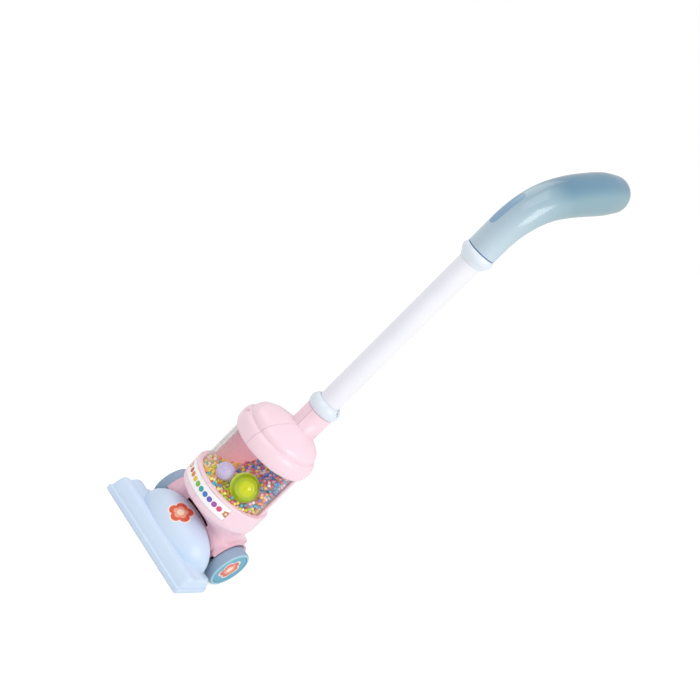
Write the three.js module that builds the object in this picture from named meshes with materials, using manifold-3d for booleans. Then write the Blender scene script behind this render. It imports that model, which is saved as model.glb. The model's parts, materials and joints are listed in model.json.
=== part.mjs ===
// Toy upright vacuum cleaner: floor head on wheels, pink body with a clear bead canister, tube and handle.
// Millimetres, +Z up, -Y the front, +X on the right as seen from the front.
// The origin is the centre of the sole's flat face, on the floor.
import * as THREE from 'three';
import { mergeVertices } from 'three/addons/utils/BufferGeometryUtils.js';
import Module from 'manifold-3d';

const wasm = await Module();
wasm.setup();

// Fits shared by all pieces
const gap = 0.3;
const wall = 2;
const bossRadius = 3.2;
const screwHoleRadius = 1.5;

// Wheels and axle
const wheelRadius = 23;
const wheelThickness = 12.6;
const axleRadius = 2;
const axleY = 52.6;
const axleZ = wheelRadius;
const discRadius = 19.6;

// Floor head
const barHalfWidth = 66.5;
const barFrontY = -24.5;
const barRearY = 23.5;
const barHeight = 19.4;
const lipHeight = 6.2;
const lipReach = 1.3;
const hoodHalfWidth = barHalfWidth - 15.5;
const hoodFootZ = 8.5;
const hoodFrontReach = 37.5;
const hoodRimReach = 34.3;
const hoodRimLean = 90;
const hoodSwell = 1.6;
const hoodSquareness = 0.92;
const armRadius = 8.5;
const armThickness = 3.6;
const guardReach = 6.5;
const guardHeight = 9;
const solePlateThickness = 3.2;
const mouthHalfWidth = barHalfWidth - 21.5;
const mouthFrontY = barFrontY + 6;
const mouthRearY = barFrontY + 15;
const soleScrewX = barHalfWidth - 10.5;
const soleScrewY = 11;

// Body
const canisterY = 38.6;
const cupRadius = 45.2;
const canisterRadius = cupRadius - 5.2;
const canisterWall = 1.6;
const cupFloorZ = 60;
const cupHeight = 26.2;
const ledge = 2;
const ledgeReach = 7;
const windowHeight = 53.5;
const backWallHalfAngle = 84;
const backWallThickness = 1.6;
const barrelRadius = 20.5;
const cheekHalfWidth = 42;
const bodyFrontY = barRearY + 1.3;
const fenderRadius = wheelRadius + 1;
const fenderWidth = 2;
const wheelInnerX = cheekHalfWidth + 2.5;
const armOuterX = wheelInnerX - 1.2;
const ventHalfWidth = 18;
const ventLow = 0.9;
const ventHigh = 3.7;

// Lid and neck
const lidHeight = 35.5;
const lidFlangeRadius = cupRadius + 0.4;
const neckRadius = 15.6;
const neckHeight = 57.5;
const poleY = 60;

// Pole and handle
const tubeRadius = 12;
const tubeWall = 1.2;
const tubeLength = 252.5;
const tubeSeat = 9.7;
const collarRadius = 17.6;
const collarHeight = 13.4;
const spigotLength = 7;
const spigotWall = 1.6;
const handleSocket = 19.6;
const handleWall = 1.5;
const upperCollarHeight = 14;

// Canister fittings
const grilleThickness = 2.5;
const greenLensRadius = canisterRadius * 0.37;
const lilacLensRadius = canisterRadius * 0.2375;
const motorRadius = 10.5;
const motorLength = 23.5;
const fanRadius = canisterRadius - 15;

// Battery bay
const cellRadius = 7.25;
const cellLength = 50.5;
const cellPitch = 15.2;
const bayY = axleY + 11.5;
const doorHalfWidth = 27;

// Heights that follow from the values above
const cupTopZ = cupFloorZ + cupHeight;
const lidRimZ = cupTopZ + windowHeight;
const lidTopZ = lidRimZ + lidHeight;
const neckTopZ = lidRimZ + neckHeight;
const tubeBottomZ = neckTopZ - tubeSeat;
const tubeTopZ = tubeBottomZ + tubeLength;
const handleBottomZ = tubeTopZ - handleSocket;
const canisterBottomZ = cupFloorZ + ledge + gap;
const canisterTopZ = lidRimZ + 6.8;
const grilleTopZ = canisterBottomZ + grilleThickness;
const lowCellZ = cupFloorZ - 29.3;
const shelfZ = axleZ + axleRadius + 3;
const motorBottomZ = shelfZ + wall + gap;

const axleX = wheelInnerX + wheelThickness - 1.4;

// Materials
function plastic(color, roughness = 0.35) {
  return new THREE.MeshStandardMaterial({ color, roughness, metalness: 0 });
}

const pink = plastic(0xf4cfe0, 0.3);
const blue = plastic(0xb4cbe8, 0.35);
const paleBlue = plastic(0xdfe9f3, 0.3);
const handleBlue = plastic(0xa9c4d6, 0.18);
const inlayBlue = plastic(0x8fadc8, 0.25);
const wheelBlue = plastic(0x93abcb, 0.45);
const teal = plastic(0x3f9dbb, 0.4);
const white = plastic(0xf4f4f8, 0.3);
const darkPlastic = plastic(0x3a3d44, 0.5);
const beadMix = plastic(0xe8b9a8, 0.8);
const lensGreen = plastic(0x9ad400, 0.1);
const lensLilac = plastic(0xc7b8dc, 0.1);
const steel = new THREE.MeshStandardMaterial({ color: 0xb8bcc2, roughness: 0.35, metalness: 1 });
const copper = new THREE.MeshStandardMaterial({ color: 0xb98b5a, roughness: 0.4, metalness: 1 });
const clear = new THREE.MeshStandardMaterial(
  { color: 0xe9eef2, roughness: 0.08, transparent: true, opacity: 0.25 });

// Geometry helpers

function toSolid(geometry) {
  const bare = geometry.index ? geometry.toNonIndexed() : geometry.clone();
  bare.deleteAttribute('normal');
  bare.deleteAttribute('uv');
  const merged = mergeVertices(bare, 1e-4);
  const index = merged.index.array;
  const position = merged.attributes.position.array;
  const corners = [];
  let volume = 0;
  const a = new THREE.Vector3();
  const b = new THREE.Vector3();
  const c = new THREE.Vector3();
  for (let i = 0; i < index.length; i += 3) {
    const [p, q, r] = [index[i], index[i + 1], index[i + 2]];
    if (p === q || q === r || r === p) continue;
    corners.push(p, q, r);
    a.fromArray(position, 3 * p);
    b.fromArray(position, 3 * q);
    c.fromArray(position, 3 * r);
    volume += a.dot(b.cross(c));
  }
  if (volume < 0) corners.reverse();
  const mesh = new wasm.Mesh({
    numProp: 3,
    vertProperties: Float32Array.from(position),
    triVerts: Uint32Array.from(corners),
  });
  return new wasm.Manifold(mesh);
}

// Facets that lie within a small distance of one plane become one face
const flatness = 0.02;

function toGeometry(solid) {
  const mesh = solid.asOriginal().simplify(flatness).getMesh();
  const geometry = new THREE.BufferGeometry();
  geometry.setAttribute('position', new THREE.BufferAttribute(Float32Array.from(mesh.vertProperties), 3));
  geometry.setIndex(new THREE.BufferAttribute(Uint32Array.from(mesh.triVerts), 1));
  const flat = geometry.toNonIndexed();
  flat.computeVertexNormals();
  return flat;
}

function join(...solids) {
  return solids.reduce((sum, next) => sum.add(next));
}

function cut(solid, ...tools) {
  return tools.reduce((rest, tool) => rest.subtract(tool), solid);
}

function block(x0, x1, y0, y1, z0, z1) {
  const geometry = new THREE.BoxGeometry(x1 - x0, y1 - y0, z1 - z0);
  geometry.translate((x0 + x1) / 2, (y0 + y1) / 2, (z0 + z1) / 2);
  return toSolid(geometry);
}

function rod(radius, from, to, sides = 20) {
  const start = new THREE.Vector3(...from);
  const span = new THREE.Vector3(...to).sub(start);
  const geometry = new THREE.CylinderGeometry(radius, radius, span.length(), sides);
  geometry.translate(0, span.length() / 2, 0);
  const upward = new THREE.Vector3(0, 1, 0);
  geometry.applyQuaternion(new THREE.Quaternion().setFromUnitVectors(upward, span.normalize()));
  geometry.translate(start.x, start.y, start.z);
  return toSolid(geometry);
}

// A solid of revolution about the vertical line through (x, y), from [radius, height] pairs
function revolve(profile, x, y, sides = 48) {
  const points = profile.map(([r, z]) => new THREE.Vector2(r, z));
  const geometry = new THREE.LatheGeometry(points, sides);
  geometry.rotateX(Math.PI / 2);
  geometry.translate(x, y, 0);
  return toSolid(geometry);
}

// A solid of revolution along a direction from a point, from [radius, distance] pairs
function revolveAlong(profile, origin, direction, sides = 28) {
  const geometry = new THREE.LatheGeometry(profile.map(([r, d]) => new THREE.Vector2(r, d)), sides);
  const turn = new THREE.Quaternion().setFromUnitVectors(new THREE.Vector3(0, 1, 0), direction);
  geometry.applyQuaternion(turn);
  geometry.translate(origin.x, origin.y, origin.z);
  return toSolid(geometry);
}

// A closed skin through rings that all have the same number of points
function loft(rings) {
  const count = rings[0].length;
  const positions = [];
  const triangle = (a, b, c) => positions.push(a.x, a.y, a.z, b.x, b.y, b.z, c.x, c.y, c.z);
  for (let i = 0; i + 1 < rings.length; i += 1) {
    for (let j = 0; j < count; j += 1) {
      const k = (j + 1) % count;
      triangle(rings[i][j], rings[i][k], rings[i + 1][k]);
      triangle(rings[i][j], rings[i + 1][k], rings[i + 1][j]);
    }
  }
  const middle = (ring) => ring.reduce((sum, p) => sum.add(p), new THREE.Vector3()).divideScalar(count);
  const first = middle(rings[0]);
  const last = middle(rings[rings.length - 1]);
  for (let j = 0; j < count; j += 1) {
    const k = (j + 1) % count;
    triangle(first, rings[0][k], rings[0][j]);
    triangle(last, rings[rings.length - 1][j], rings[rings.length - 1][k]);
  }
  const geometry = new THREE.BufferGeometry();
  geometry.setAttribute('position', new THREE.Float32BufferAttribute(positions, 3));
  return toSolid(geometry);
}

// A flat outline in the YZ plane, pushed along X
function prismX(points, x0, x1) {
  const shape = new THREE.Shape(points.map(([y, z]) => new THREE.Vector2(y, z)));
  const geometry = new THREE.ExtrudeGeometry(shape, { depth: x1 - x0, bevelEnabled: false });
  const frame = new THREE.Matrix4().makeBasis(
    new THREE.Vector3(0, 1, 0), new THREE.Vector3(0, 0, 1), new THREE.Vector3(1, 0, 0));
  geometry.applyMatrix4(frame);
  geometry.translate(x0, 0, 0);
  return toSolid(geometry);
}

// A ring sector about the vertical line through (0, y); angles in degrees from the front, -Y
function sector(rIn, rOut, fromDeg, toDeg, y, z0, z1, steps) {
  const at = (r, deg) => {
    const turn = THREE.MathUtils.degToRad(deg);
    return [r * Math.sin(turn), y - r * Math.cos(turn)];
  };
  const outer = [];
  const inner = [];
  for (let i = 0; i <= steps; i += 1) {
    const deg = fromDeg + (toDeg - fromDeg) * i / steps;
    outer.push(at(rOut, deg));
    inner.unshift(at(rIn, deg));
  }
  const shape = new THREE.Shape([...outer, ...inner].map(([px, py]) => new THREE.Vector2(px, py)));
  const geometry = new THREE.ExtrudeGeometry(shape, { depth: z1 - z0, bevelEnabled: false });
  geometry.translate(0, 0, z0);
  return toSolid(geometry);
}

const machine = new THREE.Group();

function add(name, solid, material) {
  const mesh = new THREE.Mesh(toGeometry(solid), material);
  mesh.name = name;
  machine.add(mesh);
  return mesh;
}

// Screws: a pan head and a shank, along a unit direction from the underside of the head
const screwHeadRadius = 2.5;
const screwHeadHeight = 1.6;
const screwShankRadius = screwHoleRadius - gap;

function screw(seat, direction, length) {
  const profile = [
    [0, -screwHeadHeight],
    [screwHeadRadius * 0.7, -screwHeadHeight],
    [screwHeadRadius, -screwHeadHeight * 0.4],
    [screwHeadRadius, 0],
    [screwShankRadius, 0],
    [screwShankRadius, length],
    [0, length],
  ];
  return revolveAlong(profile, seat, direction, 8);
}

const alongX = new THREE.Vector3(1, 0, 0);
const beyond = 1000;
const seatDepth = 9;
const counterbore = screwHeadRadius + gap;

// A pair of screw posts that meet at the middle plane, and the hole through them from the left side
function screwPost(y, z) {
  return rod(bossRadius, [-beyond, y, z], [beyond, y, z], 10);
}

function screwHole(y, z) {
  const well = rod(counterbore, [-beyond, y, z], [-seatDepth, y, z], 12);
  const hole = rod(screwHoleRadius, [-seatDepth - 1, y, z], [seatDepth, y, z], 8);
  return join(well, hole);
}

function leftOf(x) {
  return block(-beyond, x, -beyond, beyond, -beyond, beyond);
}

function rightOf(x) {
  return block(x, beyond, -beyond, beyond, -beyond, beyond);
}

function middleScrew(name, y, z) {
  const seat = new THREE.Vector3(-seatDepth - gap, y, z);
  add(name, screw(seat, alongX, 2 * seatDepth - 2), steel);
}

// Wheels: a dished moulding with a raised rim, and a disc set in its outer face
const webOut = wheelThickness - 2.2;
const rimInner = discRadius + gap;
const hubRadius = 5;
const hubBore = axleRadius + gap;

function wheel(side) {
  const profile = [
    [hubBore, 0.5],
    [hubRadius, 0.5],
    [hubRadius, webOut - wall],
    [wheelRadius - 2.4, webOut - wall],
    [wheelRadius - 2.4, 0],
    [wheelRadius - 0.8, 0],
    [wheelRadius, 0.8],
    [wheelRadius, wheelThickness - 1.2],
    [wheelRadius - 0.6, wheelThickness - 0.3],
    [wheelRadius - 1.6, wheelThickness],
    [rimInner + 0.4, wheelThickness],
    [rimInner, wheelThickness - 0.5],
    [rimInner, webOut],
    [hubBore, webOut],
    [hubBore, 0.5],
  ];
  const origin = new THREE.Vector3(side * wheelInnerX, axleY, axleZ);
  return revolveAlong(profile, origin, new THREE.Vector3(side, 0, 0), 28);
}

function wheelDisc(side) {
  const low = webOut + gap;
  const profile = [
    [0, low],
    [discRadius, low],
    [discRadius, low + 0.7],
    [discRadius - 0.5, low + 1],
    [0, low + 1],
  ];
  const origin = new THREE.Vector3(side * wheelInnerX, axleY, axleZ);
  return revolveAlong(profile, origin, new THREE.Vector3(side, 0, 0), 28);
}

const axleEnd = wheelInnerX + webOut;
add('wheel_right', wheel(1), wheelBlue);
add('wheel_left', wheel(-1), wheelBlue);
add('wheel_disc_right', wheelDisc(1), teal);
add('wheel_disc_left', wheelDisc(-1), teal);
add('axle', rod(axleRadius, [-axleEnd, axleY, axleZ], [axleEnd, axleY, axleZ], 16), steel);

// Floor head: a low bar with a bumper lip, a bulging hood behind it and two arms back to the axle

// Height of the bar's top as shares of its depth and of its height, from the front ridge to the rear deck
const barCrown = [
  [0.05, 0.54],
  [0.09, 0.73],
  [0.13, 0.875],
  [0.18, 0.975],
  [0.24, 1],
  [0.33, 0.96],
  [0.4, 0.885],
  [0.46, 0.825],
  [0.52, 0.835],
  [0.59, 0.885],
  [0.67, 0.905],
  [0.76, 0.87],
  [0.85, 0.77],
  [0.93, 0.63],
];

function barSection(x, inset, floor, crown) {
  const front = barFrontY + inset;
  const rear = barRearY - inset;
  const top = barHeight - inset;
  const span = rear - front;
  const points = [
    [front + 0.8, floor],
    [front, floor + 1.2],
    [front, lipHeight - 0.8],
    [front + 0.7, lipHeight],
    [front + 1.6, lipHeight + 0.7],
    ...crown.map(([along, up]) => [front + span * along, top * up]),
    [rear - 0.6, top * 0.46],
    [rear, top * 0.4],
    [rear, floor],
  ];
  return points.map(([y, z]) => new THREE.Vector3(x, y, z));
}

function lipSection(x, shrink, floor) {
  const front = barFrontY + shrink;
  const rear = barRearY - shrink;
  const points = [
    [front + 0.8, floor], [front, floor + 1.2], [front, lipHeight - 0.8], [front + 0.7, lipHeight],
    [rear - 0.7, lipHeight], [rear, lipHeight - 0.8], [rear, floor],
  ];
  return points.map(([y, z]) => new THREE.Vector3(x, y, z));
}

// Sections from end to end, each end rounded: pairs of the way back from the end and the shrink there
function rounded(section, end, rounding) {
  const left = rounding.map(([back, shrink]) => section(-end + back, shrink));
  const right = rounding.map(([back, shrink]) => section(end - back, shrink)).reverse();
  return loft([...left, ...right]);
}

function bar(inset, floor) {
  const isOutside = inset < wall;
  const rounding = isOutside ? [[0, 2.8], [0.9, 0.9], [2.8, 0]] : [[0, 0]];
  const crown = isOutside ? barCrown : [0, 2, 4, 5, 7, 10, 12].map((i) => barCrown[i]);
  const section = (x, shrink) => barSection(x, inset + shrink, floor, crown);
  return rounded(section, barHalfWidth - lipReach - inset, rounding);
}

function barLip(floor) {
  const rounding = [[0, 2.4], [0.8, 0.8], [2.4, 0]];
  return rounded((x, shrink) => lipSection(x, shrink, floor), barHalfWidth, rounding);
}

// The hood is a fan of arches that share their feet, swept from the rim forward and down
function hood(inset, fromDeg, toDeg, steps) {
  const footY = barRearY;
  const halfWidth = hoodHalfWidth - inset;
  const arches = [];
  const sides = 16;
  for (let i = 0; i <= steps; i += 1) {
    const lean = THREE.MathUtils.degToRad(fromDeg + (toDeg - fromDeg) * i / steps);
    const share = THREE.MathUtils.clamp(lean / THREE.MathUtils.degToRad(hoodRimLean), 0, 1);
    const swell = hoodSwell * Math.sin(Math.PI * share);
    const reach = hoodFrontReach + (hoodRimReach - hoodFrontReach) * share + swell - inset;
    const arch = [];
    for (let j = 0; j <= sides; j += 1) {
      const turn = Math.PI * j / sides;
      const across = Math.sign(Math.cos(turn)) * Math.abs(Math.cos(turn)) ** hoodSquareness;
      const out = reach * Math.sin(turn) ** hoodSquareness;
      const y = footY - out * Math.cos(lean);
      const z = hoodFootZ + out * Math.sin(lean);
      arch.push(new THREE.Vector3(halfWidth * across, y, z));
    }
    arches.push(arch);
  }
  return archSolid(arches);
}

// A solid bounded by arches with common end points, and by flat faces across the first and the last
function archSolid(arches) {
  const positions = [];
  const triangle = (a, b, c) => positions.push(a.x, a.y, a.z, b.x, b.y, b.z, c.x, c.y, c.z);
  const last = arches.length - 1;
  const points = arches[0].length;
  for (let i = 0; i < last; i += 1) {
    for (let j = 0; j + 1 < points; j += 1) {
      triangle(arches[i][j], arches[i][j + 1], arches[i + 1][j + 1]);
      triangle(arches[i][j], arches[i + 1][j + 1], arches[i + 1][j]);
    }
  }
  const centre = arches[0][0].clone().add(arches[0][points - 1]).divideScalar(2);
  for (let j = 0; j + 1 < points; j += 1) {
    triangle(centre, arches[0][j + 1], arches[0][j]);
    triangle(centre, arches[last][j], arches[last][j + 1]);
  }
  const geometry = new THREE.BufferGeometry();
  geometry.setAttribute('position', new THREE.Float32BufferAttribute(positions, 3));
  return toSolid(geometry);
}

function arm(side, grow) {
  const inner = side * (armOuterX - armThickness - grow);
  const outer = side * (armOuterX + grow);
  const r = armRadius + grow;
  const outline = [
    [barRearY - wall, 3 - grow],
    [axleY - r * 0.4, axleZ - r * 0.916],
    [axleY - r * 0.2, axleZ + r * 0.98],
    [barRearY - wall, barHeight * 0.46 + grow],
  ];
  const beam = prismX(outline, Math.min(inner, outer), Math.max(inner, outer));
  const eye = rod(r, [inner, axleY, axleZ], [outer, axleY, axleZ], 20);
  return join(beam, eye);
}

function soleScrewPlaces() {
  return [[-1, -1], [1, -1], [-1, 1], [1, 1]].map(([i, j]) => [i * soleScrewX, j * soleScrewY]);
}

// A rounded stub behind each end of the bar, in front of the wheel
function wheelGuard(side) {
  const inner = side * (wheelInnerX + 3);
  const outer = side * (wheelInnerX + wheelThickness + 1);
  const front = barRearY - wall;
  const back = barRearY + guardReach;
  const outline = [
    [front, 3], [back - 1, 3], [back, 4.4], [back, guardHeight], [back - 1.2, guardHeight + 1.4],
    [front, guardHeight + 1.4],
  ];
  return prismX(outline, Math.min(inner, outer), Math.max(inner, outer)).intersect(guardRoom());
}

function guardRoom() {
  return block(-barHalfWidth + 4, barHalfWidth - 4, -100, 100, 0, 100);
}

const solePostFoot = solePlateThickness + gap;
const soleShankDepth = 8;

function nozzleShell() {
  const outer = join(bar(0, gap), barLip(gap), hood(0, 0, hoodRimLean, 7));
  const inner = join(bar(wall, -1), hood(wall, 0, hoodRimLean + 30, 6));
  const column = ([x, y]) => rod(bossRadius, [x, y, solePostFoot], [x, y, barHeight], 10);
  const columns = soleScrewPlaces().map(column);
  const posts = join(...columns).intersect(bar(0.5, 0));
  const pilot = ([x, y]) => rod(screwHoleRadius, [x, y, 0], [x, y, soleShankDepth + 1], 8);
  const pilots = soleScrewPlaces().map(pilot);
  const shell = join(cut(outer, inner), arm(1, 0), arm(-1, 0), wheelGuard(1), wheelGuard(-1), posts);
  const axleHole = rod(axleRadius + gap, [-axleEnd, axleY, axleZ], [axleEnd, axleY, axleZ], 16);
  return cut(shell, axleHole, ...pilots);
}

const soleSeatZ = screwHeadHeight + 0.1;

function solePlate() {
  const plate = bar(wall + gap, 0).intersect(block(-100, 100, -100, 100, -1, solePlateThickness));
  const lip = block(-mouthHalfWidth - wall, mouthHalfWidth + wall, mouthFrontY - wall, mouthRearY + wall,
    solePlateThickness / 2, solePlateThickness + 3);
  const mouth = block(-mouthHalfWidth, mouthHalfWidth, mouthFrontY, mouthRearY, -1, solePlateThickness + 4);
  const sinks = soleScrewPlaces().map(([x, y]) => rod(counterbore, [x, y, -1], [x, y, soleSeatZ + gap], 12));
  const holes = soleScrewPlaces().map(([x, y]) => rod(screwHoleRadius, [x, y, -1], [x, y, solePostFoot], 8));
  return cut(join(plate, lip), mouth, ...sinks, ...holes);
}

add('nozzle_shell', nozzleShell(), blue);
add('sole_plate', solePlate(), blue);
soleScrewPlaces().forEach(([x, y], i) => {
  const seat = new THREE.Vector3(x, y, soleSeatZ);
  add(`sole_screw_${i + 1}`, screw(seat, new THREE.Vector3(0, 0, 1), soleShankDepth - screwHeadHeight), steel);
});

// Body: two half shells, each with its part of the lower body, cup, back wall, lid and neck

function bodyRing(z, halfWidth, front, back, power, sides) {
  const ring = [];
  const middle = (front + back) / 2;
  const depth = (back - front) / 2;
  for (let i = 0; i < sides; i += 1) {
    const turn = 2 * Math.PI * i / sides;
    const c = Math.cos(turn);
    const s = Math.sin(turn);
    const x = halfWidth * Math.sign(c) * Math.abs(c) ** (2 / power);
    const y = middle + depth * Math.sign(s) * Math.abs(s) ** (2 / power);
    ring.push(new THREE.Vector3(x, y, z));
  }
  return ring;
}

// Stations up the lower body: the barrel round the axle, the waist and the flare into the cup
function lowerBody(inset, top) {
  const rings = [];
  const sides = inset > 0.5 ? 24 : 32;
  const r = barrelRadius - inset;
  for (const deg of [-72, -48, -22]) {
    const turn = THREE.MathUtils.degToRad(deg);
    const reach = r * Math.cos(turn);
    const side = cheekHalfWidth - inset - (deg < -60 ? 2 : 0);
    rings.push(bodyRing(axleZ + r * Math.sin(turn), side, axleY - reach, axleY + reach, 9, sides));
  }
  const cupFront = canisterY - cupRadius;
  const cupBack = canisterY + cupRadius;
  const stations = [
    [axleZ + 1, cheekHalfWidth, bodyFrontY + 1.4, axleY + 21.4, 7],
    [axleZ + 7, cheekHalfWidth, bodyFrontY, axleY + 24, 6.5],
    [axleZ + 15, cheekHalfWidth, bodyFrontY, axleY + 25, 5.5],
    [cupFloorZ - 14.2, cheekHalfWidth + 0.2, bodyFrontY - 0.9, axleY + 26, 5],
    [cupFloorZ - 13.9, cheekHalfWidth - 0.7, bodyFrontY - 1.7, axleY + 25.4, 4.6],
    [cupFloorZ - 12, cheekHalfWidth - 1, bodyFrontY - 4.6, cupBack - 5.8, 3.4],
    [cupFloorZ - 8, cheekHalfWidth - 1.5, bodyFrontY - 12, cupBack - 5.6, 2.5],
    [cupFloorZ - 3.5, cheekHalfWidth - 1, bodyFrontY - 22, cupBack - 4.6, 2.2],
    [cupFloorZ, cupRadius - 3.4, cupFront + 3.4, cupBack - 3.4, 2],
    [cupFloorZ + 1.6, cupRadius - 1.5, cupFront + 1.5, cupBack - 1.5, 2],
    [cupFloorZ + 4, cupRadius - 0.5, cupFront + 0.5, cupBack - 0.5, 2],
    [cupFloorZ + 8, cupRadius, cupFront, cupBack, 2],
  ];
  const skippedInside = [cupFloorZ - 13.9, cupFloorZ - 3.5];
  for (const [z, half, front, back, power] of stations) {
    if (inset > 0 && skippedInside.includes(z)) continue;
    if (z <= top) rings.push(bodyRing(z, half - inset, front + inset, back - inset, power, sides));
  }
  const [, half, front, back, power] = stations[stations.length - 1];
  if (top > cupFloorZ + 8) {
    rings.push(bodyRing(top - 1, half - inset, front + inset, back - inset, power, sides));
    const rim = inset + 0.7;
    rings.push(bodyRing(top, half - rim, front + rim, back - rim, power, sides));
  }
  return loft(rings);
}

const lidBore = canisterRadius + gap;

function lidOuter() {
  const z = lidRimZ;
  const r = lidFlangeRadius;
  const profile = [
    [0, z], [lidBore + 0.2, z], [r - 2.3, z + 0.6], [r - 0.8, z + 3], [r, z + 7], [r - 0.2, z + 11.6],
    [r - 1.4, z + 15.8], [r - 4.4, z + 19], [r - 5.8, z + 19.5], [r - 5.4, z + 20.9], [r - 5.8, z + 23.2],
    [r - 7.9, z + 26.6], [r - 12.6, z + 29.7], [r - 20, z + 31.9], [r - 33, z + 34.3], [0, lidTopZ],
  ];
  return revolve(profile, 0, canisterY, 32);
}

function lidInner() {
  const z = lidRimZ;
  const r = lidFlangeRadius - wall;
  const seat = canisterTopZ + gap;
  const bore = revolve([[0, z - 1], [lidBore, z - 1], [lidBore, seat], [0, seat]], 0, canisterY, 36);
  const dome = [
    [0, seat - 1], [lidBore - 4.5, seat - 1], [lidBore - 4.5, seat + wall], [r - 2, seat + wall],
    [r - 1, z + 13.2], [r - 6.4, z + 18], [r - 7.2, z + 22.4], [r - 15, z + 28], [r - 33, z + 32],
    [0, lidTopZ - wall],
  ];
  return join(bore, revolve(dome, 0, canisterY, 18));
}

const spigotBore = tubeRadius + gap + spigotWall + gap;
const neckThroat = tubeRadius - 1.5;

function neckInner() {
  const throat = rod(neckThroat, [0, poleY, lidTopZ - 14], [0, poleY, tubeBottomZ], 20);
  const seat = rod(tubeRadius + gap, [0, poleY, tubeBottomZ - gap], [0, poleY, neckTopZ], 24);
  const counter = rod(spigotBore, [0, poleY, neckTopZ - spigotLength - gap], [0, poleY, neckTopZ + 1], 24);
  return join(throat, seat, counter);
}

const labelHalfAngle = 46.5;
const labelLowZ = cupFloorZ + 9;
const labelHighZ = cupTopZ - 2.7;
const labelDepth = 0.8;

// The screws that hold the halves together: [y, z] at the neck, the lid, the waist and the barrel
const bodyScrews = {
  body_screw_neck: [poleY - 5.6, neckTopZ - 14.5],
  body_screw_lid: [canisterY - 29, lidRimZ + 15.5],
  body_screw_waist: [bodyFrontY - 3, cupFloorZ - 9.5],
  body_screw_front: [axleY - 13.6, axleZ - 5.5],
  body_screw_rear: [axleY + 10.4, axleZ - 9],
};

const bayBottomZ = lowCellZ - cellRadius - gap - 1.5;
const bayTopZ = lowCellZ + cellPitch + cellRadius + gap + 1.5;
const bayFrontY = bayY - cellRadius - gap - 1.5;
const doorLowZ = axleZ - 10;
const doorHighZ = cupFloorZ - 1;
const doorScrewX = 12;
const doorScrewZ = axleZ - 5.2;
const doorPostY = axleY + 8;
const doorPostEndY = axleY + 16.6;
const doorSeatY = axleY + 19.2;
const doorScrewAt = (y) => [doorScrewX, y, doorScrewZ];
const bayShelfZ = bayBottomZ - gap - 1.7;
const motorCollarZ = motorBottomZ + motorLength - 8;

function bodySolid() {
  const outer = lowerBody(0, cupTopZ);
  const cupBore = rod(lidBore, [0, canisterY, cupFloorZ + ledge], [0, canisterY, cupTopZ + 1], 36);
  const ledgeHole = rod(lidBore - ledgeReach, [0, canisterY, cupFloorZ - 1], [0, canisterY, cupTopZ], 36);
  const hollow = lowerBody(wall, cupFloorZ);
  const back = sector(lidBore, lidBore + backWallThickness, 180 - backWallHalfAngle, 180 + backWallHalfAngle,
    canisterY, cupTopZ - 3, lidRimZ + 4, 18);
  const neck = rod(neckRadius, [0, poleY, lidTopZ - 12], [0, poleY, neckTopZ], 24);
  const lid = cut(join(lidOuter(), neck), lidInner());
  const shell = cut(outer, hollow, cupBore, ledgeHole);
  const whole = join(shell, back, lid);

  // Shelves that carry the motor and the battery box, trimmed to the hollow they stand in
  const room = lowerBody(wall - 0.5, cupFloorZ);
  const motorShelf = block(-beyond, beyond, -beyond, bayFrontY - gap, shelfZ, shelfZ + wall);
  const motorCollar = block(-beyond, beyond, -beyond, bayFrontY - gap, motorCollarZ, motorCollarZ + wall);
  const bayShelf = block(-beyond, beyond, bayFrontY, axleY + 17, bayShelfZ, bayShelfZ + 1.7);
  const collarHole = rod(motorRadius + gap,
    [0, canisterY, motorCollarZ - 1], [0, canisterY, motorCollarZ + 4], 16);
  const shelves = cut(join(motorShelf, motorCollar, bayShelf).intersect(room), collarHole);

  // Screw posts, cut to the outside of the shell
  const envelope = join(lowerBody(0.5, cupTopZ), lidOuter(), neck);
  const posts = Object.values(bodyScrews).map(([y, z]) => screwPost(y, z));
  const doorPost = rod(bossRadius, doorScrewAt(doorPostY), doorScrewAt(doorPostEndY), 10);
  const inside = join(...posts).intersect(envelope);
  return { shell: join(whole, shelves, inside, doorPost), lowerOuter: outer };
}

const armRecessX = armOuterX - armThickness - 1.1;

function armRecess(side) {
  const inner = side * armRecessX;
  const outer = side * (cheekHalfWidth + 10);
  const r = armRadius + 1.5;
  const outline = [
    [barRearY - 20, barHeight * 0.46 + 2.5],
    [axleY, axleZ + r],
    [axleY + 4.5, axleZ],
    [axleY + 4.5, axleZ - barrelRadius - 5],
    [barRearY - 20, axleZ - barrelRadius - 5],
  ];
  const beam = prismX(outline, Math.min(inner, outer), Math.max(inner, outer));
  return join(beam, rod(r, [inner, axleY, axleZ], [outer, axleY, axleZ], 18));
}

function armRecessWall(side) {
  const inner = side * (armRecessX - wall);
  const outer = side * (armRecessX + 0.01);
  const room = lowerBody(0.5, cupFloorZ);
  const outline = [
    [barRearY - 20, barHeight * 0.46 + 4.5],
    [axleY, axleZ + armRadius + 3.5],
    [axleY + armRadius + 3.5, axleZ + armRadius - 2],
    [axleY + armRadius + 3.5, axleZ - barrelRadius - 5],
    [barRearY - 20, axleZ - barrelRadius - 5],
  ];
  return prismX(outline, Math.min(inner, outer), Math.max(inner, outer)).intersect(room);
}

// A lip over the inner edge of each wheel
function fender(side) {
  const outline = [];
  for (const r of [fenderRadius, fenderRadius + fenderWidth]) {
    const arc = [];
    for (let deg = 14; deg <= 146; deg += 12) {
      const turn = THREE.MathUtils.degToRad(deg);
      arc.push([axleY - r * Math.cos(turn), axleZ + r * Math.sin(turn)]);
    }
    outline.push(...(r === fenderRadius ? arc : arc.reverse()));
  }
  const inner = side * (cheekHalfWidth - 3);
  const outer = side * (wheelInnerX + 0.8);
  return prismX(outline, Math.min(inner, outer), Math.max(inner, outer));
}

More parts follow.
